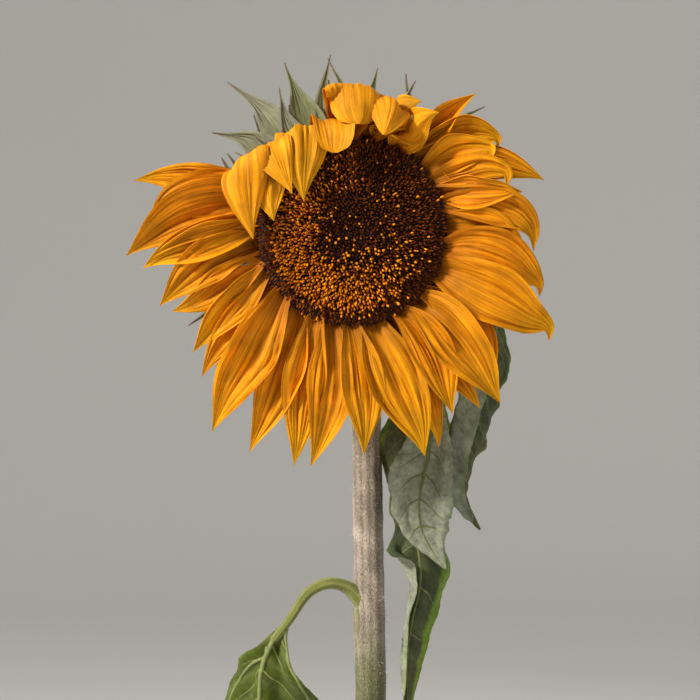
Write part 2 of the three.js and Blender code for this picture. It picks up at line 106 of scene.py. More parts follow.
# Bracts that stand clear of the rays: clock of the base, reach and fore of the tip, width,
# and how far the tip leans to the side in degrees of clock.
FREE_BRACTS = [
    [47, 138, -22, 14, -4], [68, 123, -18, 14, -1], [66, 125, -20, 18, 5],
    [82, 125, -24, 16, -1], [101, 134, -24, 18, -4], [94, 131, -20, 14, 4],
    [112, 137, -24, 26, 0], [120, 121, -16, 18, -3], [127, 147, -24, 27, 3],
    [140, 130, -22, 26, 5], [135, 102, -14, 16, 1], [209, 145, -22, 20, 1],
    [231, 84, 4, 10, 0], [197, 86, 4, 10, 0],
]

STEM_TOP = np.array([-3.0, 0.0, 1085.0])
STEM_POINTS = [[0, 0, 0], [0, 0, 60], [3, 5, 640], STEM_TOP]
STEM_FOOT_RADIUS = 15.0
STEM_TOP_RADIUS = 11.3
FLARE = 7.0
FLARE_HEIGHT = 22.0
NECK_RADIUS = 17.0
RECEPTACLE_PROFILE = [(18, -42), (26, -38), (46, -30), (62, -20), (72, -12), (72, -8)]

# Leaves beside the stem. The petiole runs from the stem at height "from" through its
# points to the blade. A row of the blade gives the share of the midrib, then for the left
# half and the right half the reach from the midrib, the fold and the curl in degrees. Ribs
# are extra veins, each through shares along and across. From the share green_from on, the
# right edge is green; 2 is nowhere. A flap is a part turned over, which shows its underside.
HEAD_LEAVES = [
    {
        "from": 1042, "facing": 0, "twist": 15, "radius": 4.6, "green_from": 0.46,
        "petiole": [[24, -8, 1056], [42, -14, 1054], [52, -16, 1034]],
        "midrib": [[42, -18, 985], [36, -22, 935], [41, -20, 880], [32, -17, 829], [31, -14, 762]],
        "rows": [
            [0, 5, 20, 0, 5, 20, 0], [0.09, 27, 20, 10, 17, 35, 0], [0.2, 33, 24, 20, 20, 42, 10],
            [0.32, 27, 36, 50, 23, 35, 0], [0.42, 17, 45, 20, 23, 36, 0],
            [0.49, 18, 10, -130, 22, 42, 50], [0.57, 10, 10, -160, 21, 45, 20],
            [0.7, 6, 10, -150, 14, 52, 0], [0.8, 7, 0, -165, 10, 52, -20], [0.9, 5, 0, -150, 5, 50, 0],
            [1, 0.6, 0, 0, 0.6, 40, 0],
        ],
        "flap": {
            "rib_radius": 1.1, "pleat": 5, "green_from": 2,
            "midrib": [
                [50, -22, 1009], [47, -27, 977], [40, -31, 945], [41, -31, 921], [51, -28, 901],
                [61, -24, 887],
            ],
            "rows": [
                [0, 5, -10, 0, 5, -10, 0], [0.25, 15, -20, 20, 13, -30, 20],
                [0.5, 23, -25, 30, 20, -30, 40], [0.64, 19, -20, 60, 21, -30, 60],
                [0.8, 11, -10, 90, 16, -20, 70], [0.92, 4, 0, 60, 7, 0, 40], [1, 0.6, 0, 0, 0.6, 0, 0],
            ],
            "ribs": [
                [[0.6, -0.97], [0.72, -0.98], [0.85, -0.98], [0.97, -0.9], [1, -0.5]],
            ],
        },
    },
    {
        "from": 1066, "facing": 10, "twist": -15, "radius": 4.2,
        "petiole": [[32, 16, 1094], [66, 22, 1110], [96, 18, 1102], [104, 12, 1086]],
        "midrib": [[100, 8, 1052], [91, 4, 1022], [79, 0, 980], [75, -3, 945], [90, -2, 916]],
        "rows": [
            [0, 4, 20, 0, 4, 20, 0], [0.12, 20, 10, -60, 16, 35, 0], [0.3, 23, 0, -150, 20, 38, 10],
            [0.62, 19, 0, -172, 17, 40, 10], [0.8, 14, 0, -172, 8, 45, 20],
            [0.92, 7, 0, -150, 4, 45, 20], [1, 0.6, 0, 0, 0.6, 40, 0],
        ],
    },
    {
        "from": 852, "facing": -6, "twist": 12, "radius": 4.8, "early": [-63, -16, 847], "fresh": 1,
        "pleat": 9,
        "petiole": [[-17, -3, 870], [-32, -8, 874], [-48, -11, 867], [-64, -16, 845], [-76, -20, 830]],
        "midrib": [[-84, -24, 812], [-87, -25, 780], [-86, -24, 735], [-80, -18, 652]],
        "ribs": [
            [[0.01, 0.3], [0.05, 0.8], [0.13, 0.93], [0.24, 0.92], [0.36, 0.8], [0.6, 0.66]],
            [[0.14, -0.05], [0.2, -0.5], [0.29, -0.72], [0.42, -0.8], [0.62, -0.8]],
        ],
        "rows": [
            [0, 1, 10, 0, 1, 10, 0], [0.06, 3, 20, 0, 6, 20, 0], [0.13, 8, 40, 0, 17, -10, 0],
            [0.22, 22, 48, 0, 26, -30, 30], [0.34, 36, 44, 10, 44, 10, 30],
            [0.5, 42, 40, 30, 48, 32, 20], [0.7, 34, 44, 40, 38, 40, 40], [0.86, 18, 44, 20, 19, 40, 20],
            [1, 0.6, 40, 0, 0.6, 40, 0],
        ],
    },
]

# Lower leaves, from the highest to the lowest, turned by the golden angle. Where there are
# two sizes, the first is the lowest leaf's and the second the highest's. The folds are
# those of the left and the right half.
LOWER_LEAVES = {
    "count": 7,
    "height": (258, 700),
    "first_azimuth": 250,
    "turn": 137.5,
    "petiole": (120, 96),
    "blade": (205, 190),
    "width": (150, 132),
    "folds": (40, 50),
    "radius": 5.0,
}

# ---------------- colours, linear

RAY_ROOT = (0.44, 0.125, 0.002)
RAY_GOLD = (0.95, 0.355, 0.003)
RAY_TIP = (0.95, 0.47, 0.005)
RAY_CREASE_SHADE = (0.52, 0.14, 0.001)
RAY_BACK = (0.90, 0.385, 0.008)
FLORET_DARK = (0.046, 0.009, 0.002)
FLORET_BROWN = (0.24, 0.058, 0.003)
FLORET_GOLD = (0.52, 0.135, 0.002)
FLORET_BEAD = (0.94, 0.33, 0.006)
DISC_GROUND = (0.022, 0.006, 0.004)
BRACT_GREEN = (0.125, 0.165, 0.075)
BRACT_PALE = (0.36, 0.355, 0.26)
BRACT_YELLOW = (0.23, 0.24, 0.03)
BRACT_DRY = (0.20, 0.10, 0.06)
RECEPTACLE_GREEN = (0.14, 0.19, 0.07)
STEM_GREEN = (0.16, 0.135, 0.080)
STEM_PALE = (0.47, 0.38, 0.31)
STEM_LOW_SHADE = (0.105, 0.125, 0.035)
BRISTLE_PALE = np.array([0.72, 0.62, 0.54])
PETIOLE_GREEN = (0.125, 0.145, 0.018)
PETIOLE_PALE = (0.30, 0.31, 0.09)
LEAF_DARK = (0.050, 0.066, 0.026)
LEAF_OLIVE = (0.105, 0.105, 0.042)
LEAF_FRESH = (0.070, 0.096, 0.005)
LEAF_UNDER = (0.29, 0.315, 0.225)
LEAF_EDGE = (0.18, 0.31, 0.022)
LEAF_VEIN = (0.25, 0.29, 0.10)

# ---------------- numbers and vectors


def unit(vectors):
    length = np.linalg.norm(vectors, axis=-1, keepdims=True)
    return vectors / np.maximum(length, 1e-9)


def smooth(value, low, high):
    """0 below low, 1 above high, and an even rise in between."""
    share = np.clip((value - low) / (high - low), 0, 1)
    return share * share * (3 - 2 * share)


def mix(a, b, share):
    return np.asarray(a) * (1 - share) + np.asarray(b) * share


def toward(colours, other, share):
    """Colours taken towards another, each by its own share."""
    return mix(colours, other, np.asarray(share, float)[..., None])


def along(points, count):
    """Points spaced evenly on the centripetal Catmull-Rom curve through the given points."""
    points = np.array(points, float)
    padded = np.vstack([2 * points[0] - points[1], points, 2 * points[-1] - points[-2]])
    knots = np.cumsum([0, *np.linalg.norm(np.diff(padded, axis=0), axis=1) ** 0.5])
    samples = []
    for i in range(len(padded) - 3):
        t = np.linspace(knots[i + 1], knots[i + 2], CURVE_STEPS, endpoint=False)[:, None]
        level = padded[i : i + 4]
        for spans in (((0, 1), (1, 2), (2, 3)), ((0, 2), (1, 3)), ((1, 2),)):
            level = [between(a, b, knots[i + start], knots[i + end], t)
                     for (start, end), a, b in zip(spans, level, level[1:])]
        samples.append(level[0])
    return evenly(np.vstack([*samples, points[-1:]]), count)


def between(a, b, from_knot, to_knot, t):
    return ((to_knot - t) * a + (t - from_knot) * b) / (to_knot - from_knot)


def evenly(points, count):
    """The same line with count points at equal distances."""
    steps = np.linalg.norm(np.diff(points, axis=0), axis=1)
    places = np.cumsum([0, *steps])
    wanted = np.linspace(0, places[-1], count)
    return stacked(*(np.interp(wanted, places, values) for values in points.T))


def length_of(points):
    return float(np.linalg.norm(np.diff(points, axis=0), axis=1).sum())


def stations(spine, first_side, twist=0.0):
    """The tangent at each point of a spine, a side that turns as little as it can apart
    from a twist in degrees, and their normal."""
    tangents = unit(np.gradient(spine, axis=0))
    sides = np.empty_like(spine)
    side = first_side
    for i, tangent in enumerate(tangents):
        side = unit(side - np.dot(side, tangent) * tangent)
        sides[i] = side
    sides = turned_about(sides, tangents, twist)
    return tangents, sides, np.cross(sides, tangents)


def turned_about(vectors, axes, angles):
    """Vectors turned about axes at right angles to them, by a column of angles in degrees."""
    angles = np.radians(angles)
    return vectors * np.cos(angles) + np.cross(axes, vectors) * np.sin(angles)


def column(count):
    """Shares from 0 to 1 below each other, one for each row of a grid."""
    return np.linspace(0, 1, count)[:, None]


def stacked(*parts):
    """Numbers or grids of numbers put together as vectors."""
    return np.stack(np.broadcast_arrays(*parts), -1)


def around(sides):
    """Angles evenly spaced round a circle."""
    return np.arange(sides) * TAU / sides


def clock_gap(first, second):
    return abs((first - second + 180) % 360 - 180)


def way_at(azimuth):
    """The level direction at an azimuth in radians."""
    return np.array([math.cos(azimuth), math.sin(azimuth), 0.0])


# The head's own axes, from the disc that the CAD packed.
disc_low, disc_high = (np.array(corner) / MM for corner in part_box("disc"))
RIGHT = np.array([1.0, 0.0, 0.0])
FORE = np.array([0.0, -math.cos(HEAD_NOD), -math.sin(HEAD_NOD)])
UPWARD = np.cross(FORE, RIGHT)
HEAD = np.array([
    (disc_low[0] + disc_high[0]) / 2,
    disc_high[1] - DISC_RADIUS * math.sin(HEAD_NOD) - DISC_DEPTH * math.cos(HEAD_NOD),
    (disc_low[2] + disc_high[2]) / 2 - DISC_DEPTH * math.sin(HEAD_NOD) / 2,
])


def outward(clock):
    angle = np.radians(np.asarray(clock, float))[..., None]
    return RIGHT * np.cos(angle) + UPWARD * np.sin(angle)


def head_point(clock, reach, fore):
    reach = np.asarray(reach, float)[..., None]
    fore = np.asarray(fore, float)[..., None]
    return HEAD + outward(clock) * reach + FORE * fore


# ---------------- meshes


class Batch:
    """Closed shapes gathered into one piece. Every point has a colour and a place, which
    is where it lies along and across its own petal, leaf or stem."""

    def __init__(self):
        self.points, self.quads, self.triangles = [], [], []
        self.colours, self.places = [], []
        self.count = 0

    def add(self, points, quads, triangles, colours, places):
        points = np.reshape(points, (-1, 3))
        self.points.append(points)
        self.quads.append(np.reshape(quads, (-1, 4)) + self.count)
        self.triangles.append(np.reshape(triangles, (-1, 3)) + self.count)
        self.colours.append(np.broadcast_to(np.reshape(colours, (-1, 3)), points.shape))
        self.places.append(np.broadcast_to(np.reshape(places, (-1, 3)), points.shape))
        self.count += len(points)


def linked(name, data):
    """A new object in the scene."""
    made = bpy.data.objects.new(name, data)
    bpy.context.scene.collection.objects.link(made)
    return made


def make_piece(name, batch, material, nodes=()):
    quads = np.concatenate(batch.quads)
    triangles = np.concatenate(batch.triangles)
    corners = np.concatenate([quads.ravel(), triangles.ravel()]).astype(np.int32)
    sizes = np.concatenate([np.full(len(quads), 4), np.full(len(triangles), 3)])
    mesh = bpy.data.meshes.new(name)
    mesh.vertices.add(batch.count)
    mesh.vertices.foreach_set("co", (np.concatenate(batch.points) * MM).astype(np.float32).ravel())
    mesh.loops.add(len(corners))
    mesh.loops.foreach_set("vertex_index", corners)
    mesh.polygons.add(len(sizes))
    mesh.polygons.foreach_set("loop_start", (np.cumsum(sizes) - sizes).astype(np.int32))
    colours = np.ones((batch.count, 4), np.float32)
    colours[:, :3] = np.concatenate(batch.colours)
    mesh.attributes.new("Col", "FLOAT_COLOR", "POINT").data.foreach_set("color", colours.ravel())
    places = (np.concatenate(batch.places) * MM).astype(np.float32)
    mesh.attributes.new("Place", "FLOAT_VECTOR", "POINT").data.foreach_set("vector", places.ravel())
    mesh.update(calc_edges=True)
    mesh.validate()
    mesh.shade_smooth()
    mesh.set_sharp_from_angle(angle=SHARP_ANGLE)
    mesh.materials.append(material)
    piece = linked(name, mesh)
    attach(piece, "root")
    if nodes:
        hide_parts(*nodes)


def grid_normals(grid):
    return unit(np.cross(np.gradient(grid, axis=1), np.gradient(grid, axis=0)))


def add_sheet(batch, grid, thickness, upper_colours, lower_colours, places):
    """A closed sheet of the given thickness about a grid of points."""
    index = np.arange(grid.shape[0] * grid.shape[1]).reshape(grid.shape[:2])
    upper = np.stack([index[:-1, :-1], index[:-1, 1:], index[1:, 1:], index[1:, :-1]], -1).reshape(-1, 4)
    lower = upper[:, ::-1] + index.size
    rim = np.concatenate([index[0, :-1], index[:-1, -1], index[-1, :0:-1], index[:0:-1, 0]])
    following = np.roll(rim, -1)
    edge = np.stack([following, rim, rim + index.size, following + index.size], -1)
    half = grid_normals(grid) * (thickness / 2)
    batch.add([grid + half, grid - half], np.concatenate([upper, lower, edge]), [],
              [upper_colours, lower_colours], [places, places])


def tube_faces(rings, sides):
    """Quads between rings of points, and at both ends triangles to a point of its own."""
    index = np.arange(rings * sides).reshape(rings, sides)
    turned = np.roll(index, -1, axis=1)
    quads = np.stack([index[:-1], turned[:-1], turned[1:], index[1:]], -1).reshape(-1, 4)
    foot = np.full(sides, rings * sides)
    return quads, np.concatenate([
        np.stack([foot, turned[0], index[0]], -1),
        np.stack([foot + 1, index[-1], turned[-1]], -1),
    ])


def add_tube(batch, spine, first_side, radii, colours, sides):
    """A closed tube along a spine. radii is one number for each ring, or one for each
    point of each ring."""
    count = len(spine)
    _, across, normals = stations(spine, first_side)
    angles = around(sides)
    radii = np.broadcast_to(radii.reshape(count, -1), (count, sides))
    rings = (
        spine[:, None]
        + across[:, None] * (np.cos(angles) * radii)[..., None]
        - normals[:, None] * (np.sin(angles) * radii)[..., None]
    )
    if np.ndim(colours) == 2:
        colours = colours[:, None]
    colours = np.broadcast_to(colours, rings.shape)
    lengths = np.linspace(0, length_of(spine), count)[:, None]
    places = stacked(lengths, angles * radii.mean(), 0.0)
    batch.add(
        np.concatenate([rings.reshape(-1, 3), spine[[0, -1]]]),
        *tube_faces(count, sides),
        *(np.concatenate([part.reshape(-1, 3), part[[0, -1], 0]]) for part in (colours, places)),
    )
    return rings


def frames_about(axes, rng):
    """Two directions at right angles to each axis, turned by chance."""
    helper = np.where(np.abs(axes[:, 2:]) > 0.9, [1.0, 0, 0], [0, 0, 1.0])
    first = unit(np.cross(helper, axes))
    second = np.cross(axes, first)
    spin = rng.uniform(0, TAU, len(axes))[:, None]
    return first * np.cos(spin) + second * np.sin(spin), second * np.cos(spin) - first * np.sin(spin)


def add_buds(batch, bases, axes, profile, sides, widths, heights, colours, rng, lobes=0.0):
    """Many small turned shapes. profile gives (radius, height) shares up to the top."""
    first, second = frames_about(axes, rng)
    angles = around(sides)
    swell = 1 + lobes * np.cos(angles * sides / 2)
    shape = np.array([(r * c * w, r * s * w, h) for r, h in profile
                      for c, s, w in zip(np.cos(angles), np.sin(angles), swell)]
                     + [(0, 0, profile[0][1]), (0, 0, profile[-1][1])])
    points = (
        bases[:, None]
        + first[:, None] * (shape[:, 0] * widths[:, None])[..., None]
        + second[:, None] * (shape[:, 1] * widths[:, None])[..., None]
        + axes[:, None] * (shape[:, 2] * heights[:, None])[..., None]
    )
    starts = (np.arange(len(bases)) * len(shape))[:, None, None]
    faces = (part[None] + starts for part in tube_faces(len(profile), sides))
    batch.add(points, *faces, np.repeat(colours, len(shape), axis=0), np.broadcast_to(shape, points.shape))


def add_bristles(batch, bases, axes, lengths, widths, colours, rng):
    """Many thin three-sided spikes."""
    first, second = frames_about(axes, rng)
    angles = around(3)[:, None]
    ring = (first[:, None] * np.cos(angles) + second[:, None] * np.sin(angles)) * widths[:, None, None]
    points = np.concatenate([bases[:, None] + ring, (bases + axes * lengths[:, None])[:, None]], axis=1)
    faces = np.array([[0, 1, 3], [1, 2, 3], [2, 0, 3], [0, 2, 1]])
    starts = (np.arange(len(bases)) * 4)[:, None, None]
    batch.add(points, [], faces[None] + starts, np.repeat(colours, 4, axis=0), [0, 0, 0])


# ---------------- materials


def node(tree, kind, inputs, output=0, **settings):
    """One shader node, with its settings and what goes into it. Returns an output."""
    made = tree.nodes.new("ShaderNode" + kind)
    for key, value in settings.items():
        setattr(made, key, value)
    for key, value in inputs.items():
        if isinstance(value, bpy.types.NodeSocket):
            tree.links.new(value, made.inputs[key])
        else:
            made.inputs[key].default_value = value
    return made.outputs[output] if made.outputs else None


def new_material(name):
    """A material and its node tree, which is still empty."""
    material = bpy.data.materials.new(name)
    material.use_nodes = True
    material.node_tree.nodes.clear()
    return material, material.node_tree


def plant_material(name, roughness, grain, mottle, bump, translucency=0.0, sheen=0.0, specular=0.3):
    """A finish on the mesh's own colours. grain is how many marks there are to a metre
    along and across, mottle how much lighter and darker they are, bump their height."""
    material, tree = new_material(name)

    def spread(noise, darker, lighter):
        return node(tree, "MapRange", {
            "Value": noise, "From Min": 0.3, "From Max": 0.7,
            "To Min": 1 - darker * mottle, "To Max": 1 + lighter * mottle,
        })

    colour = node(tree, "Attribute", {}, "Color", attribute_name="Col")
    place = node(tree, "Attribute", {}, "Vector", attribute_name="Place")
    scale = (grain[0], grain[1], grain[1])
    stretched = node(tree, "VectorMath", {0: place, 1: scale}, operation="MULTIPLY")
    marks = node(tree, "TexNoise", {"Vector": stretched, "Scale": 1.0, "Detail": 4.0, "Roughness": 0.6})
    ground = node(tree, "TexCoord", {}, "Object")
    patches = node(tree, "TexNoise", {"Vector": ground, "Scale": 55.0, "Detail": 3.0})
    both = node(tree, "Math", {0: spread(marks, 1, 0.6), 1: spread(patches, 0.5, 0.35)},
                operation="MULTIPLY")
    finish = node(tree, "VectorMath", {0: colour, "Scale": both}, operation="SCALE")
    relief = node(tree, "Bump", {"Height": marks, "Strength": 0.8, "Distance": bump * MM})
    shader = node(tree, "BsdfPrincipled", {
        "Base Color": finish, "Roughness": roughness, "Normal": relief,
        "Specular IOR Level": specular, "Sheen Weight": sheen,
    })
    if translucency:
        glow = node(tree, "BsdfTranslucent", {"Color": finish, "Normal": relief})
        shader = node(tree, "MixShader", {0: translucency, 1: shader, 2: glow})
    node(tree, "OutputMaterial", {"Surface": shader})
    return material


# ---------------- ray florets

RAY_ROWS = 46
RAY_COLUMNS = 31
RAY_THICKNESS = 0.45
RAY_OUTLINE = [(0, 0.42), (0.1, 0.59), (0.25, 0.86), (0.42, 1), (0.6, 0.86), (0.75, 0.58),
               (0.88, 0.27), (0.96, 0.09), (1, 0.01)]
BLUNT_OUTLINE = [(0, 0.44), (0.1, 0.62), (0.25, 0.88), (0.42, 1), (0.6, 1), (0.75, 0.95),
                 (0.88, 0.80), (0.96, 0.52), (1, 0.12)]
RAY_CREASES = 9
RAY_CREASE_DEPTH = 0.09  # in half widths
RAY_SWAY = [2.2, 1.2]  # to the side and up
RAY_TWIST = 18  # degrees at the tip
HOODED_REACH = 112  # a ray whose tip comes nearer the axis hangs over the disc
HOODED_CALM = 0.3  # how much of the edge curl such a ray keeps
HOODED_CREASE = 0.045  # depth of its creases, in half widths
BACK_ROW_COUNT = 32
BACK_ROW_GAP = (84, 152)  # clocks without a back row, behind the rays that hang over


def ray_frame(row, layer, rng):
    """Shares along one ray floret, with its spine, sides and normals."""
    clock, turn, reach, fore, tip_turn, tip_reach, tip_fore, _ = row
    hang = RAY_HABITS.get(clock, {}).get("hang", 0)
    root = head_point(clock, RAY_ROOT_REACH, -4 - 4 * layer)
    shoulder = head_point(clock + turn, reach, fore)
    tip = head_point(clock + tip_turn, tip_reach, tip_fore)
    kink = tip + UPWARD * hang
    control = 2 * shoulder - (root + kink) / 2
    t = column(RAY_ROWS)
    spine = (1 - t) ** 2 * root + 2 * t * (1 - t) * control + t ** 2 * kink
    if hang:
        spine = along([*spine[:-8:9], kink, tip], RAY_ROWS)
    spine = evenly(spine, RAY_ROWS)
    tangents, sides, normals = stations(spine, -outward(clock + 90))
    sway = rng.uniform(-1, 1, 2) * RAY_SWAY
    spine = spine + sides * sway[0] * np.sin(TAU * t) * t
    spine = spine + normals * sway[1] * np.sin(1.5 * math.pi * t) * t
    if tip_reach < HOODED_REACH:
        sides = mix(sides, unit(np.cross(FORE, tangents[-1])), smooth(t, 0.15, 0.7))
        sides = unit(sides - tangents * (sides * tangents).sum(1, keepdims=True))
    sides = turned_about(sides, tangents, rng.uniform(-RAY_TWIST, RAY_TWIST) * t ** 2)
    return t, spine, sides, np.cross(sides, tangents)


def ray_relief(t, s, hooded, rng):
    """How high the surface of a ray floret stands, in half widths, and how deep its creases are, which
    also sets the painted shade in them.
    """
    wave = rng.uniform(0, TAU, 4)
    folds = np.cos(TAU * rng.uniform(0.9, 1.5) * s + wave[0])
    lines = np.cos(TAU * 5.5 * s + wave[2] + 0.6 * np.sin(3 * t + wave[1]))
    crease = 0
    for place in np.linspace(-0.8, 0.8, RAY_CREASES) + rng.uniform(-0.1, 0.1, RAY_CREASES):
        drift = place * (1 + 0.12 * np.sin(4 * t + place * 9)) + 0.05 * np.sin(9 * t + wave[3])
        fade = smooth(t, rng.uniform(-0.2, 0.25), 0.4) * (1 - smooth(t, rng.uniform(0.7, 1.0), 1.15))
        valley = np.exp(-((s - drift) / rng.uniform(0.045, 0.085)) ** 2)
        crease = crease + rng.uniform(0.35, 1.0) * valley * fade
    swell = 0.35 + 0.65 * np.sin(math.pi * t ** 0.8)
    ripple = np.sin(TAU * (rng.uniform(1.2, 2.4) * t + 0.2 * np.sign(s)) + wave[3])
    depth = HOODED_CREASE if hooded else RAY_CREASE_DEPTH
    height = 0.060 * folds * swell + 0.014 * lines + 0.10 * ripple * s ** 2 * smooth(t, 0.1, 0.5)
    return height - depth * crease, np.clip(crease, 0, 1)


def outline(t, shares, half_width):
    """Half widths along a petal or bract, from (share along, share of the width) pairs."""
    return np.maximum(half_width * eased(t, *np.array(shares, float).T), 0.3)


def cross_sections(spine, sides, normals, half, s, slope):
    """A grid of points: at each point of the spine, a line across it that starts level
    and climbs with the slope, in degrees, on both halves."""
    middle = len(s) // 2
    step = half * (s[1] - s[0])
    grid = spine[:, None]
    for way, share, sign in ((sides, np.cos, -1), (normals, np.sin, 1)):
        run = share(np.radians(slope)) * step
        run = (run[:, 1:] + run[:, :-1]) / 2
        left = sign * np.cumsum(run[:, middle - 1 :: -1], axis=1)[:, ::-1]
        line = np.hstack([left, np.zeros((len(spine), 1)), np.cumsum(run[:, middle:], axis=1)])
        grid = grid + way[:, None] * line[..., None]
    return grid


def raised(grid, height):
    return grid + grid_normals(grid) * height[..., None]


def add_ray(batch, row, layer, rng, tone=1.0):
    habit = RAY_HABITS.get(row[0], {})
    hooded = row[5] < HOODED_REACH
    t, *frame_lines = ray_frame(row, layer, rng)
    half = outline(t, mix(RAY_OUTLINE, BLUNT_OUTLINE, habit.get("blunt", 0)), 0.62 * row[7])
    s = np.linspace(-1, 1, RAY_COLUMNS)
    cup = rng.uniform(8, 22) + habit.get("cup", 0) + 26 * (1 - t) ** 2 + rng.uniform(-6, 14) * t ** 3
    curls = rng.uniform(-30, 34, 2) * (HOODED_CALM if hooded else 1)
    slope = cup * smooth(np.abs(s), 0, 0.3) + np.where(s < 0, *curls) * (0.3 + 0.7 * t) * np.abs(s) ** 3
    height, crease = ray_relief(t, s, hooded, rng)
    grid = raised(cross_sections(*frame_lines, half, s, slope), half * height)

    colours = toward(RAY_ROOT, RAY_GOLD, smooth(t, -0.05, 0.42))
    colours = toward(colours, RAY_TIP, 0.85 * smooth(t, 0.5, 1.0))
    # Painted shade: the creases are coloured a darker orange-brown.
    colours = toward(colours, RAY_CREASE_SHADE, 0.75 * crease)
    warmth = rng.uniform(-1, 1)
    tint = np.array([1.0, 1 + 0.08 * warmth, 1.0]) * tone * rng.uniform(0.9, 1.05)
    upper = np.clip(colours * tint, 0, 0.95)
    lower = np.clip(mix(colours, RAY_BACK, 0.55) * tint, 0, 0.95)
    length = length_of(grid[:, RAY_COLUMNS // 2])
    places = stacked(t * length, s * half.max(), rng.uniform(0, 400))
    add_sheet(batch, grid, RAY_THICKNESS, upper, lower, places)


def crown_reach(clock):
    """How far the rays reach near a clock, from the tips of the named ones."""
    tips = [(row[0] + row[4], row[5]) for rows in RAY_SPRAYS for row in rows if row[5] > 110]
    near = np.argsort([clock_gap(clock, tip) for tip, _ in tips])[:3]
    return float(np.mean([tips[i][1] for i in near]))


def spray_of(clock):
    """The spray whose florets root nearest to a clock."""
    return int(np.argmin([min(clock_gap(clock, row[0]) for row in rows) for rows in RAY_SPRAYS]))


def build_rays():
    finish = plant_material("ray_floret", 0.6, (16, 560), 0.42, 0.8, translucency=0.2, specular=0.15)
    rng = np.random.default_rng(SEED)
    batches = [Batch() for _ in RAY_SPRAYS]
    for batch, rows in zip(batches, RAY_SPRAYS):
        for index, row in enumerate(rows):
            add_ray(batch, row, index % 3, rng)
    for index in range(BACK_ROW_COUNT):
        clock = (index * 360 / BACK_ROW_COUNT + rng.uniform(-3, 3)) % 360
        crown = crown_reach(clock + 6) * rng.uniform(0.70, 0.86)
        turn = rng.uniform(-4, 7)
        width = rng.uniform(19, 26)
        back = rng.uniform(-20, -12)
        row = [clock, turn, (RAY_ROOT_REACH + crown) / 2 + 6, back + 4, turn * 1.6, crown, back, width]
        if not BACK_ROW_GAP[0] < clock < BACK_ROW_GAP[1]:
            # The back row is painted a little darker, as painted shade behind the front rays.
            add_ray(batches[spray_of(clock)], row, 2, rng, tone=0.93)
    for number, batch in enumerate(batches, 1):
        make_piece(f"ray_florets_{number:02d}", batch, finish, [f"rays_{number:02d}"])


# ---------------- disc

FLORETS = 2800
GOLDEN_ANGLE = 137.508
# The clock of the side the light falls on; florets there are painted gold as painted light.
LIT_SIDE_CLOCK = 212
TURNED_SIDES = 96
FLORET_LENGTH = 6.0
FLORET_TUBE = [(0.55, 0.0), (0.8, 0.5), (1.0, 0.86), (0.6, 1.0)]
OPEN_TIP = [(0.45, 0.0), (1.0, 0.55), (0.6, 1.0)]
BEAD_TIP = [(0.5, 0.0), (0.9, 0.4), (1.0, 0.75), (0.5, 1.0)]
BUD_TIP = [(0.85, 0.0), (0.7, 0.45), (0.3, 1.0)]


def disc_height(reach):
    dome = DISC_DOME * np.clip(1 - (reach / DISC_RADIUS) ** 2, 0, 1) ** 0.6
    return dome - DISC_DIMPLE * np.exp(-((reach / DISC_DIMPLE_RADIUS) ** 2))


def turned_solid(profile, colour, wobble=0.0):
    """A solid turned about the head's axis from (reach, fore) pairs, closed at both ends."""
    clocks = np.arange(TURNED_SIDES) * 360 / TURNED_SIDES
    reaches, fores = np.array(profile, float).T[..., None]
    ripple = 1 + wobble * np.sin(np.radians(clocks) * 17) * np.sin(0.4 * fores)
    rings = head_point(clocks, reaches * ripple, fores)
    ends = head_point(0.0, 0.0, fores[[0, -1], 0])
    points = np.concatenate([rings.reshape(-1, 3), ends])
    batch = Batch()
    batch.add(points, *tube_faces(len(profile), TURNED_SIDES), colour, points - HEAD)
    return batch


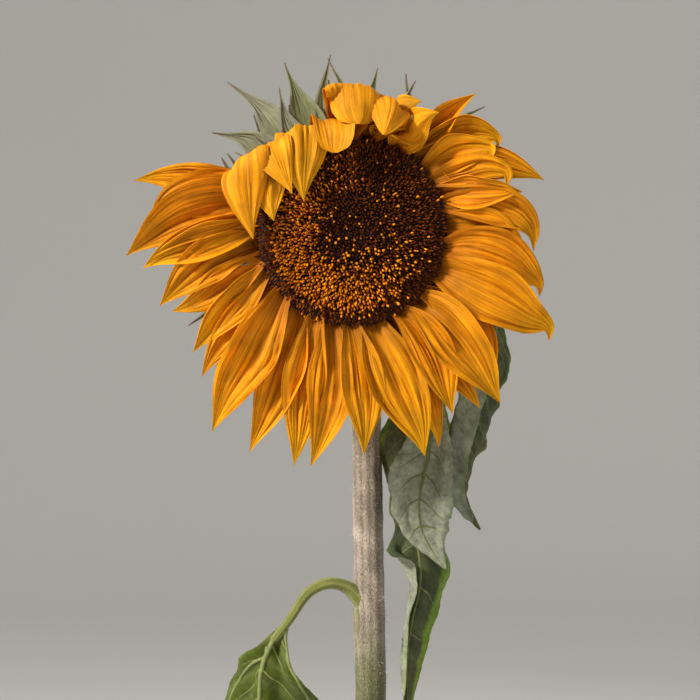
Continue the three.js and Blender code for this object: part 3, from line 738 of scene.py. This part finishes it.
def build_disc():
    rng = np.random.default_rng(SEED + 1)
    tissue = plant_material("disc_ground", 0.85, (500, 500), 0.4, 0.5)
    reach = DISC_RADIUS * np.linspace(0.02, 0.985, 26)[::-1]
    profile = [(DISC_RADIUS - 6, -DISC_DEPTH), *zip(reach, disc_height(reach) - FLORET_LENGTH * 0.8)]
    make_piece("disc_ground", turned_solid(profile, DISC_GROUND), tissue, ["disc"])

    number = np.arange(FLORETS)
    share = np.sqrt((number + 0.5) / FLORETS) * 0.985
    rim = smooth(share, 0.86, 1.0)
    reach = share * DISC_RADIUS + rng.normal(0, 0.42, FLORETS) + 2.5 * rim
    clock = (number * GOLDEN_ANGLE) % 360 + np.degrees(rng.normal(0, 0.42, FLORETS) / np.maximum(reach, 3))
    slope = disc_height(reach + 0.5) - disc_height(reach - 0.5)
    lean = 0.75 * share - slope * 0.3 + 1.2 * rim + rng.normal(0, 0.2, FLORETS)
    aside = rng.normal(0, 0.2, FLORETS)
    axes = unit(FORE + outward(clock) * lean[:, None] + outward(clock + 90) * aside[:, None])
    bases = head_point(clock, reach, disc_height(reach) - 1.5 * rim) - axes * FLORET_LENGTH

    # Dark buds all over, with a broad gold crescent of open florets on the side the light
    # comes from, and single gold beads between the buds, most of them on the lower half. Both
    # are painted light: the upper and right parts are left dark as painted shade under the rays.
    lit_side = 0.5 + 0.5 * np.cos(np.radians(clock - LIT_SIDE_CLOCK))
    # Painted light: the lower half gets more gold beads, and the upper half stays dark as painted shade.
    low = 0.5 - 0.5 * np.sin(np.radians(clock))
    inner = smooth(share, 0.22, 0.55)
    outer = 1 - smooth(share, 0.70 + 0.08 * lit_side, 0.86 + 0.05 * lit_side)
    open_and_lit = inner * outer * smooth(lit_side, 0.12, 0.72)
    chance = rng.uniform(0, 1, FLORETS)
    is_open = chance < 0.78 * open_and_lit
    is_bead = ~is_open & (chance > 0.96 - 0.13 * low * outer)
    is_bud = ~(is_open | is_bead)

    body_tone = rng.uniform(0, 1, FLORETS) ** 1.4 * (0.3 + 0.7 * smooth(share, 0.1, 0.6))
    body_colour = toward(FLORET_DARK, FLORET_BROWN, np.minimum(body_tone + 0.3 * rim, 1))
    # Florets in the crescent also get gold bodies, as painted light.
    body_colour = toward(body_colour, FLORET_GOLD, 0.25 * open_and_lit + 0.35 * is_open)
    heights = FLORET_LENGTH * rng.uniform(0.66, 1.06, FLORETS) * (1 - 0.16 * (share < 0.25))
    heights = heights * np.where(is_bud, 0.9, 1.0)
    widths = rng.uniform(0.7, 1.15, FLORETS)
    bodies = Batch()
    finish = plant_material("disc_floret", 0.8, (900, 900), 0.5, 0.2, specular=0.05)
    add_buds(bodies, bases, axes, FLORET_TUBE, 6, widths, heights, body_colour, rng)
    make_piece("disc_florets", bodies, finish)

    tips = Batch()
    crown = bases + axes * (heights * 0.92)[:, None]
    tip_finish = plant_material("floret_tip", 0.6, (1500, 1500), 0.4, 0.12, specular=0.12)
    kinds = [
        (is_open, OPEN_TIP, 8, (0.45, 0.95), (1.6, 4.2), (FLORET_GOLD, FLORET_BEAD), 1.3, 0.22),
        (is_bead, BEAD_TIP, 8, (0.55, 1.05), (1.8, 3.6), (FLORET_GOLD, FLORET_BEAD), 0.5, 0.0),
        (is_bud, BUD_TIP, 6, (0.45, 0.95), (0.8, 2.6), (FLORET_DARK, FLORET_BROWN), 1.3, 0.0),
    ]
    for chosen, profile, sides, width, height, ends, dimness, lobes in kinds:
        count = int(chosen.sum())
        tone = toward(*ends, rng.uniform(0, 1, count) ** dimness)
        add_buds(tips, crown[chosen], axes[chosen], profile, sides, rng.uniform(*width, count),
                 rng.uniform(*height, count), tone, rng, lobes)
    make_piece("floret_tips", tips, tip_finish)


# ---------------- receptacle and bracts

BRACT_GRID_ROWS = 28
BRACT_GRID_COLUMNS = 11
BRACT_OUTLINE = [(0, 0.76), (0.15, 0.92), (0.33, 1), (0.48, 0.82), (0.6, 0.54), (0.7, 0.32),
                 (0.8, 0.17), (0.9, 0.08), (1, 0.02)]
BRACT_THICKNESS = 0.9
BRACT_NODES = 8
BRACT_HAIRS = 26  # on each bract


def build_receptacle():
    finish = plant_material("receptacle_felt", 0.85, (300, 300), 0.25, 0.35, sheen=0.4)
    *back, rim = RECEPTACLE_PROFILE
    reaches, fores = np.array(back, float).T
    fine = np.linspace(reaches[0], reaches[-1], 22)
    profile = [
        (reaches[0] * 0.5, fores[0] - 0.2),
        *zip(fine, np.interp(fine, reaches, fores)),
        rim,
        (rim[0] - 4, rim[1] + 0.4),
    ]
    shell = turned_solid(profile, RECEPTACLE_GREEN, wobble=0.006)
    make_piece("receptacle_shell", shell, finish, ["receptacle"])


def add_bract(batch, hairs, row, layer, rng):
    clock, reach, fore, width, lean = row
    root_reach, root_fore = BRACT_ROWS_AT[layer]
    root = head_point(clock, root_reach, root_fore)
    middle = head_point(clock - 0.25 * lean, mix(root_reach, reach, 0.58), (root_fore + fore) / 2 - 2)
    tip = head_point(clock + lean, reach, fore)
    spine = along([root, middle, tip], BRACT_GRID_ROWS)
    t = column(BRACT_GRID_ROWS)
    tangents, sides, normals = stations(spine, -outward(clock + 90), rng.uniform(-22, 22) * t ** 2)
    half = outline(t, BRACT_OUTLINE, 0.55 * width)
    s = np.linspace(-1, 1, BRACT_GRID_COLUMNS)
    cup = rng.uniform(6, 16) + 30 * t ** 2
    slope = cup * smooth(np.abs(s), 0, 0.4) + rng.uniform(-10, 30) * np.abs(s) ** 3
    ribs = 0.45 * np.cos(TAU * 2.5 * s) * np.sin(math.pi * t)
    grid = raised(cross_sections(spine, sides, normals, half, s, slope), ribs)
    colours = toward(BRACT_GREEN, BRACT_YELLOW, rng.uniform(0, 1) ** 2)
    colours = toward(colours, BRACT_PALE, rng.uniform(0.15, 0.85) * (0.4 + 0.6 * smooth(t, 0.1, 0.6)))
    colours = toward(colours, BRACT_PALE, 0.5 * smooth(np.abs(s), 0.7, 1.0))
    colours = toward(colours, BRACT_DRY, smooth(t, 0.78, 0.98) * rng.uniform(0.4, 1.0))
    places = stacked(t * length_of(spine), s * half.max(), rng.uniform(0, 400))
    add_sheet(batch, grid, BRACT_THICKNESS, colours * 0.92, colours, places)

    rows = rng.integers(1, BRACT_GRID_ROWS - 6, BRACT_HAIRS)
    left = rng.uniform(0, 1, BRACT_HAIRS) < 0.5
    aside = np.where(left, -1.0, 1.0)[:, None] * sides[rows]
    axes = unit(aside + 0.9 * tangents[rows] + 0.3 * rng.normal(0, 1, (BRACT_HAIRS, 3)))
    add_bristles(hairs, grid[rows, np.where(left, 0, -1)], axes, rng.uniform(1.0, 2.4, BRACT_HAIRS),
                 np.full(BRACT_HAIRS, 0.13), np.tile(BRACT_PALE, (BRACT_HAIRS, 1)) * 1.3, rng)


def build_bracts():
    finish = plant_material("bract_felt", 0.8, (130, 620), 0.34, 0.4, translucency=0.08, sheen=0.3)
    rng = np.random.default_rng(SEED + 2)
    rows = [(row, 2) for row in FREE_BRACTS]
    for layer, (spacing, offset) in enumerate([(20, 6), (17, 0), (14, 0)]):
        for clock in np.arange(offset, 360, spacing):
            crowded = layer == 2 and any(abs(row[0] - clock) < 10 for row in FREE_BRACTS)
            reach = rng.uniform(96, 112) + 8 * layer
            row = [clock + rng.uniform(-3, 3), reach, -30 + 3 * layer + rng.uniform(-3, 3),
                   rng.uniform(20, 26), rng.uniform(-5, 5)]
            if not crowded:
                rows.append((row, layer))
    batches = [Batch() for _ in range(BRACT_NODES)]
    hairs = Batch()
    for row, layer in rows:
        add_bract(batches[int((row[0] % 360) / 360 * BRACT_NODES)], hairs, row, layer, rng)
    for number, batch in enumerate(batches, 1):
        make_piece(f"bract_spray_{number:02d}", batch, finish, [f"bracts_{number:02d}"])
    make_piece("bract_hairs", hairs, finish)


# ---------------- stem

STEM_SIDES = 60
STEM_RINGS = 230
NECK_RINGS = 46
STEM_RIDGES = 11
STEM_BRISTLES = 9000
PETIOLE_BRISTLES = 420  # on each petiole
STEM_LINE = along(STEM_POINTS, STEM_RINGS)


def stem_spine():
    start = STEM_TOP + [0, 0, 0.6]
    end = head_point(0, 0, RECEPTACLE_PROFILE[0][1] + 0.4)
    bend = [start, start + [-1, 0, 46], end - 34 * FORE, end]
    t = column(NECK_RINGS)
    neck = sum(math.comb(3, i) * t ** i * (1 - t) ** (3 - i) * point for i, point in enumerate(bend))
    return np.vstack([STEM_LINE, neck[1:]])


def stem_point(height):
    return np.array([np.interp(height, STEM_LINE[:, 2], values) for values in STEM_LINE.T])


def stem_radius(height):
    return mix(STEM_FOOT_RADIUS, STEM_TOP_RADIUS, np.clip(height / STEM_TOP[2], 0, 1))


def build_stem():
    """The stem with its neck. Returns the bristles, which the petioles add to."""
    rng = np.random.default_rng(SEED + 3)
    finish = plant_material("stem_rind", 0.8, (520, 760), 0.62, 0.9, sheen=0.12)
    spine = stem_spine()
    count = len(spine)
    angles = around(STEM_SIDES)
    heights = spine[:, 2:]
    ring = np.arange(count)[:, None]
    on_neck = np.clip((ring - STEM_RINGS) / (NECK_RINGS - 2), 0, 1)
    flare = FLARE * np.exp(-heights / FLARE_HEIGHT) * (ring < STEM_RINGS)
    drift = 0.25 * np.sin(heights / 90)
    ridge = np.abs(np.cos((STEM_RIDGES * (angles + 0.02 * drift)) / 2)) ** 0.7 - 0.6
    lumps = np.zeros((count, STEM_SIDES))
    for _ in range(26):
        waves = rng.integers(1, 9)
        up = rng.uniform(0.02, 0.35)
        lumps += np.sin(waves * angles + up * heights + rng.uniform(0, 6.3))
    radii = (
        stem_radius(heights)
        + (NECK_RADIUS - STEM_TOP_RADIUS) * on_neck ** 3
        + flare * (1 + 0.25 * np.cos(5 * angles))
        + 0.75 * ridge
        + 0.04 * lumps
    )
    # Paler on the ridges and darker in the grooves: painted highlight on the ridges and painted shade in
    # the grooves.
    colours = toward(STEM_GREEN, STEM_PALE, np.clip(0.62 + 0.5 * ridge + 0.03 * lumps, 0, 1))
    # Darker green from about 0.8 m down to the foot: painted shade of the leaf that hangs there.
    low_shade = 0.06 + 0.72 * (1 - smooth(heights, 790, 860)) + 0.05 * np.sin(heights / 37)
    colours = toward(colours, STEM_LOW_SHADE, low_shade)
    batch = Batch()
    rings = add_tube(batch, spine, RIGHT, radii, colours, STEM_SIDES)
    make_piece("stem_and_neck", batch, finish, ["stem", "neck"])

    hairs = Batch()
    row = rng.integers(3, count - 1, STEM_BRISTLES)
    side = rng.integers(0, STEM_SIDES, STEM_BRISTLES)
    bases = mix(rings[row, side], rings[row - 1, side], rng.uniform(0, 1, STEM_BRISTLES)[:, None])
    away = unit(bases - spine[row])
    axes = unit(away + rng.normal(0, 0.28, (STEM_BRISTLES, 3)) + [0, 0, -0.12])
    lengths = rng.gamma(3.0, 0.55, STEM_BRISTLES) + 0.5
    tones = BRISTLE_PALE * rng.uniform(0.75, 1.15, (STEM_BRISTLES, 1))
    add_bristles(hairs, bases - away * 0.3, axes, np.minimum(lengths, 4.2),
                 0.09 + 0.03 * lengths, tones, rng)
    return hairs


# ---------------- leaves

LEAF_ROWS = 78
LEAF_COLUMNS = 43
LEAF_THICKNESS = 0.7
PETIOLE_RINGS = 44
PETIOLE_SIDES = 18
VEIN_PAIRS = 7
VEIN_RINGS = 26
VEIN_SIDES = 6
RIB_RADIUS = 2.2
VEIN_SIDE = [0.9, 0.3, 0.2]  # where the rings of a midrib or rib start
HEART_OUTLINE = [(0, 0.05), (0.05, 0.42), (0.14, 0.8), (0.26, 1.0), (0.4, 0.98), (0.55, 0.84),
                 (0.7, 0.62), (0.84, 0.36), (0.94, 0.16), (1, 0.01)]
TOOTH_SPACING = 7.5
NOWHERE = 2.0  # a share past the tip
ROLLED_CURL = 150  # degrees of curl at which half a blade is rolled right over
ROLLED_REACH = 0.47  # share of a rolled half that shows beside the midrib
LOWER_PETIOLE = [(0.32, 0.24), (0.62, 0.34), (0.88, 0.24), (1, 0.02)]  # shares of its reach
LOWER_MIDRIB = [(0.08, -0.2, 4), (0.1, -0.5, -3), (0.04, -0.8, 2), (-0.04, -1, 8)]
RIDGE_SPREAD = 0.34
RIDGE_DROP = 58


def lower_leaf(index):
    """A leaf lower on the stem, worked out as the part does, with a blade of its own."""
    share = index / (LOWER_LEAVES["count"] - 1)
    height, reach, drop, width = (
        float(mix(LOWER_LEAVES[key][1], LOWER_LEAVES[key][0], share))
        for key in ("height", "petiole", "blade", "width")
    )
    turn = LOWER_LEAVES["first_azimuth"] + index * LOWER_LEAVES["turn"]
    out_way = way_at(math.radians(turn))
    side_way = way_at(math.radians(turn + 90))
    foot = stem_point(height)

    def at(out, up, aside=0.0):
        return [*(foot + out_way * out + side_way * aside)[:2], height + up]

    folds = LOWER_LEAVES["folds"]
    curl = 16 + 9 * (index % 3)
    rows = []
    for t, breadth in HEART_OUTLINE:
        left, right = (0.5 * width * breadth * math.cos(math.radians(fold)) for fold in folds)
        rows.append([t, left, folds[0], curl, right, folds[1], 50 - curl])
    return {
        "from": height,
        "petiole": [at(out * reach, up * reach) for out, up in LOWER_PETIOLE],
        "midrib": [at(reach + out * drop, up * drop, aside) for out, up, aside in LOWER_MIDRIB],
        "facing": turn + 90,
        "twist": 30 - 20 * (index % 3),
        "radius": LOWER_LEAVES["radius"],
        "fresh": 0.55,
        "rows": rows,
    }


def leaf_grid(leaf, rng):
    """The blade's middle surface, with its length, the shares along and across, the half
    widths and the number of the nearest side vein."""
    starts = [leaf["early"], leaf["petiole"][-1]] if "early" in leaf else leaf["petiole"][-1:]
    spine = along([*starts, *leaf["midrib"]], LEAF_ROWS)
    length = length_of(spine)
    t = column(LEAF_ROWS)
    s = np.linspace(-1, 1, LEAF_COLUMNS)
    aside = np.abs(s)
    _, sides, normals = stations(spine, way_at(math.radians(leaf["facing"])), leaf["twist"] * t)
    knots, *values = np.array(leaf["rows"], float).T
    left, right = np.array([eased(t, knots, value) for value in values]).reshape(2, 3, -1, 1)
    reach, fold, curl = (np.where(s < 0, *pair) for pair in zip(left, right))
    rolled = smooth(np.abs(curl), 60, ROLLED_CURL)
    spread = mix(1 + 0.25 * np.abs(curl) / 90, 1 / ROLLED_REACH, rolled)
    half = reach / np.cos(np.radians(fold)) * spread
    bending = mix(s ** 2, smooth(aside, 0.36, 0.62), rolled)
    slope = fold * smooth(aside, 0, 0.22) + curl * bending
    grid = cross_sections(spine, sides, normals, half, s, slope)

    out = aside * half
    vein_share = (t * length - 0.75 * out) / (0.088 * length)
    pillow = np.abs(np.sin(math.pi * vein_share)) ** 0.7
    phase = rng.uniform(0, TAU, 6)
    ripple = (np.sin(TAU * 5.3 * t + phase[0] + 0.9 * np.sign(s))
              + 0.6 * np.sin(TAU * 9.1 * t + phase[1] - 1.3 * np.sign(s)))
    crumple = (np.sin(t * 17 + s * 5 + phase[2]) * np.sin(s * 7 - t * 6 + phase[3])
               + 0.5 * np.sin(t * 41 - s * 9 + phase[4]) * np.sin(s * 15 + phase[5]))
    valley = np.sin(math.pi * np.clip(aside / 0.8, 0, 1)) ** 2
    relief = (
        1.5 * pillow * smooth(out, 2, 9) * smooth(1 - aside, 0, 0.3)
        + (1.9 * ripple * aside ** 2.4 + 0.9 * crumple) * smooth(half, 3, 26)
        - leaf.get("pleat", 0) * valley * smooth(half, 5, 22)
    )
    grid = raised(grid, -relief)
    teeth = (np.abs((t * length / TOOTH_SPACING) % 1 - 0.3) - 0.3) * smooth(aside, 0.9, 1)
    grid = grid + unit(grid - spine[:, None]) * (1.6 * teeth * smooth(half, 2, 20))[..., None]
    return grid, length, t, s, half, vein_share


def eased(t, knots, values):
    """Values between knots, without corners."""
    i = np.clip(np.searchsorted(knots, t, side="right") - 1, 0, len(knots) - 2)
    slopes = np.gradient(values, knots)
    gap = knots[i + 1] - knots[i]
    u = (t - knots[i]) / gap
    bend = gap * u * (1 - u) * ((1 - u) * slopes[i] - u * slopes[i + 1])
    made = values[i] + (values[i + 1] - values[i]) * u * u * (3 - 2 * u) + bend
    return np.clip(made, min(values), max(values))


def on_grid(grid, t_path, s_path):
    """Points of a grid at shares along (0 to 1) and across (-1 to 1)."""
    rows, columns = grid.shape[:2]
    i = np.clip(t_path, 0, 1) * (rows - 1)
    j = (np.clip(s_path, -1, 1) + 1) / 2 * (columns - 1)
    i0 = np.minimum(i.astype(int), rows - 2)
    j0 = np.minimum(j.astype(int), columns - 2)
    u, v = (i - i0)[:, None], (j - j0)[:, None]
    return mix(mix(grid[i0, j0], grid[i0 + 1, j0], u), mix(grid[i0, j0 + 1], grid[i0 + 1, j0 + 1], u), v)


def add_veins(batch, grid, half, length, colour, leaf):
    """Raised veins along the blade: the midrib, a strong lowest pair and the rest, and
    the leaf's own ribs, each through shares along and across."""
    u = np.linspace(0, 1, VEIN_RINGS)
    for rib in leaf.get("ribs", []):
        t_path, s_path, _ = along([[*place, 0] for place in rib], 2 * VEIN_RINGS).T
        thick = leaf.get("rib_radius", RIB_RADIUS) * np.linspace(1, 0.35, 2 * VEIN_RINGS)
        add_tube(batch, on_grid(grid, t_path, s_path), VEIN_SIDE, thick, colour, 8)
    for pair in range(VEIN_PAIRS):
        start = 0.02 + 0.095 * pair + 0.004 * pair ** 2
        steepness, bow, thickness = (1.5, 1.25, 1.4) if pair == 0 else (1.0, 0.95, 0.95)
        for side, column in ((-1, 0), (1, -1)):
            breadth = half[int((start + 0.1) * LEAF_ROWS), column]
            t_path = start + 0.95 * breadth / length * steepness * u ** 1.15
            path = on_grid(grid, t_path, side * 0.93 * u ** bow)
            add_tube(batch, path, [0.3, 0.2, 0.9], thickness * (1 - 0.7 * u), colour, VEIN_SIDES)
    t_path = np.linspace(0, 0.995, 3 * VEIN_RINGS)
    path = on_grid(grid, t_path, 0 * t_path)
    add_tube(batch, path, VEIN_SIDE, 1.9 * (1 - t_path) ** 1.1 + 0.4, colour, 10)


def add_blade(batch, leaf, rng, patch):
    """One blade with its veins. patch shifts the pattern of its colours."""
    grid, length, t, s, half, vein_share = leaf_grid(leaf, rng)
    aside = np.abs(s)
    fresh = leaf.get("fresh", 0.0)
    near_vein = 1 - np.abs(np.sin(math.pi * vein_share)) ** 0.5
    # Dark olive-brown blotches: partly wear and partly painted shade on the leaves by the head. fresh
    # takes a blade towards plain green.
    worn_and_shaded = toward(LEAF_DARK, LEAF_OLIVE, 0.5 + 0.5 * np.sin(7 * t + 2 * aside + patch))
    lamina = toward(mix(worn_and_shaded, LEAF_FRESH, fresh), LEAF_VEIN, (0.2 + 0.25 * fresh) * near_vein)
    green_from = leaf.get("green_from", NOWHERE)
    right_side = smooth(s, 0.5, 0.7) * smooth(t, green_from, green_from + 0.06)
    green_edge = smooth(aside, 0.80, 1.0) * (0.55 + 0.45 * np.sin(9 * t + patch))
    green_edge = np.maximum(green_edge, 0.85 * right_side)
    upper_face = toward(lamina, LEAF_EDGE, green_edge)
    under = mix(LEAF_UNDER, LEAF_FRESH, 0.4 * fresh) * (1 + 0.2 * near_vein[..., None])
    under_face = toward(under, LEAF_EDGE, 0.4 * green_edge)
    if leaf.get("shows_under"):
        upper_face, under_face = under_face, upper_face
    places = stacked(t * length, s * half, 37.0 * patch)
    add_sheet(batch, grid, LEAF_THICKNESS, under_face, upper_face, places)
    add_veins(batch, grid, half, length, mix(LEAF_VEIN, LEAF_OLIVE, 0.5 * (1 - fresh)), leaf)


def add_stalk(batch, leaf, rng, hairs):
    path = along([stem_point(leaf["from"]), *leaf["petiole"]], PETIOLE_RINGS)
    u = np.linspace(0, 1, PETIOLE_RINGS)[:, None]
    angles = around(PETIOLE_SIDES)
    radius = leaf["radius"] * (1.18 - 0.5 * u) + 5.5 * np.exp(-u / 0.13)
    groove = 1 - 0.16 * np.exp(-(np.angle(np.exp(1j * (angles - math.pi / 2))) / 0.45) ** 2)
    ribs = 1 + 0.04 * np.cos(6 * angles)
    tones = toward(PETIOLE_GREEN, PETIOLE_PALE, 0.4 + 0.4 * np.cos(6 * angles))
    start = path[1] - path[0]
    rings = add_tube(batch, path, [-start[1], start[0], 0.0], radius * groove * ribs, tones[None],
                     PETIOLE_SIDES)

    row = rng.integers(4, PETIOLE_RINGS - 1, PETIOLE_BRISTLES)
    bases = rings[row, rng.integers(0, PETIOLE_SIDES, PETIOLE_BRISTLES)]
    away = unit(bases - path[row])
    axes = unit(away + rng.normal(0, 0.3, (PETIOLE_BRISTLES, 3)))
    lengths = rng.uniform(0.7, 2.6, PETIOLE_BRISTLES)
    tones = BRISTLE_PALE * rng.uniform(0.7, 1.0, (PETIOLE_BRISTLES, 1))
    add_bristles(hairs, bases - away * 0.2, axes, lengths, np.full(PETIOLE_BRISTLES, 0.12), tones, rng)


def add_ridges(batch, leaf):
    """Two ridges that run down the stem from the foot of a petiole."""
    toward_leaf = np.array(leaf["petiole"][0], float) - stem_point(leaf["from"])
    azimuth = math.atan2(toward_leaf[1], toward_leaf[0])
    u = np.linspace(0, 1, VEIN_RINGS)
    heights = leaf["from"] + 6 - RIDGE_DROP * u
    radii = 2.5 * (1 - u) ** 0.8 * smooth(u, -0.06, 0.2) + 0.3
    tones = toward(PETIOLE_GREEN, STEM_PALE, 0.15 + 0.7 * u)
    for spread in (-RIDGE_SPREAD, RIDGE_SPREAD):
        way = way_at(azimuth + spread)
        path = np.array([stem_point(h) + way * (stem_radius(h) - 0.8) for h in heights])
        add_tube(batch, path, np.cross(way, [0, 0, 1]), radii, tones, 10)


def build_leaves(hairs):
    rng = np.random.default_rng(SEED + 4)
    blade_finish = plant_material("leaf_blade", 0.65, (260, 260), 0.34, 0.5, translucency=0.15,
                                  sheen=0.08, specular=0.18)
    stalk_finish = plant_material("petiole_rind", 0.7, (110, 500), 0.25, 0.3, sheen=0.2)
    leaves = HEAD_LEAVES + [lower_leaf(index) for index in range(LOWER_LEAVES["count"])]
    for index, leaf in enumerate(leaves):
        number = f"{index + 1:02d}"
        blade = Batch()
        add_blade(blade, leaf, rng, index)
        if "flap" in leaf:
            flap = {**leaf, **leaf["flap"], "petiole": leaf["petiole"][-1:], "shows_under": True}
            add_blade(blade, flap, rng, index + 0.5)
        make_piece(f"leaf_blade_{number}", blade, blade_finish, [f"leaf_{number}"])
        stalk = Batch()
        add_stalk(stalk, leaf, rng, hairs)
        add_ridges(stalk, leaf)
        make_piece(f"petiole_stalk_{number}", stalk, stalk_finish, [f"petiole_{number}"])


def build_bristles(hairs):
    finish = plant_material("bristle", 0.5, (300, 300), 0.15, 0.02, translucency=0.2)
    make_piece("bristles", hairs, finish)


# ---------------- stage, light, camera

STAGE_RADIUS = 8.0
STAGE_RISE = 4.5
STAGE_CURVE = 2.5
STAGE_SIDES = 96
STAGE_TONE = (0.70, 0.688, 0.667, 1)
CAMERA_PLACE = (-0.015, -1.335, 1.061)
CAMERA_LENS = 85
CAMERA_SENSOR = 36


def build_stage():
    """A pale floor that curves up all round, open above."""
    flat = STAGE_RADIUS - STAGE_CURVE
    bend = np.linspace(0, math.pi / 2, 16)[1:]
    radii = np.array([*np.linspace(0.3, flat, 8), *(flat + STAGE_CURVE * np.sin(bend)), STAGE_RADIUS])
    heights = np.array([*np.zeros(8), *(STAGE_CURVE * (1 - np.cos(bend))), STAGE_RISE])
    angles = around(STAGE_SIDES)
    rings = stacked(np.cos(angles) * radii[:, None], np.sin(angles) * radii[:, None], heights[:, None])
    quads, fans = tube_faces(len(radii), STAGE_SIDES)
    points = np.concatenate([rings.reshape(-1, 3), [[0, 0, 0]]])
    mesh = bpy.data.meshes.new("stage")
    mesh.from_pydata(points, [], [*quads[:, ::-1].tolist(), *fans[:STAGE_SIDES, ::-1].tolist()])
    mesh.shade_smooth()
    material, tree = new_material("stage_paper")
    place = node(tree, "TexCoord", {}, "Object")
    fibres = node(tree, "TexNoise", {"Vector": place, "Scale": 400.0})
    relief = node(tree, "Bump", {"Height": fibres, "Strength": 0.1, "Distance": MM})
    paper = node(tree, "BsdfPrincipled", {"Base Color": STAGE_TONE, "Roughness": 0.95, "Normal": relief})
    node(tree, "OutputMaterial", {"Surface": paper})
    mesh.materials.append(material)
    linked("stage", mesh)


def area_light(name, place, target, size, power, colour):
    data = bpy.data.lights.new(name, "AREA")
    data.shape = "DISK"
    data.size = size
    data.energy = power
    data.color = colour
    light = linked(name, data)
    light.location = place
    light.rotation_mode = "QUATERNION"
    light.rotation_quaternion = Vector(np.subtract(target, place)).to_track_quat("-Z", "Y")


def build_lights():
    world = bpy.data.worlds.new("studio")
    world.use_nodes = True
    background = world.node_tree.nodes["Background"]
    background.inputs["Color"].default_value = (1.0, 0.985, 0.96, 1)
    background.inputs["Strength"].default_value = 0.5
    bpy.context.scene.world = world
    area_light("key", (-2.3, -1.55, 2.6), HEAD * MM, 0.5, 150, (1.0, 0.96, 0.90))
    area_light("fill", (2.6, -2.4, 1.2), (0, 0, 0.8), 2.0, 14, (1.0, 0.97, 0.94))
    area_light("rim", (1.2, 2.6, 2.4), (0, 0, 0.9), 1.4, 30, (1.0, 1.0, 1.0))
    bpy.context.scene.view_settings.view_transform = "Standard"


def build_camera():
    data = bpy.data.cameras.new("camera")
    data.lens = CAMERA_LENS
    data.sensor_width = CAMERA_SENSOR
    data.clip_end = 100
    camera = linked("camera", data)
    camera.location = CAMERA_PLACE
    camera.rotation_euler = (math.pi / 2, 0, 0)
    bpy.context.scene.camera = camera


build_rays()
build_disc()
build_receptacle()
build_bracts()
bristles = build_stem()
build_leaves(bristles)
build_bristles(bristles)
build_stage()
build_lights()
build_camera()
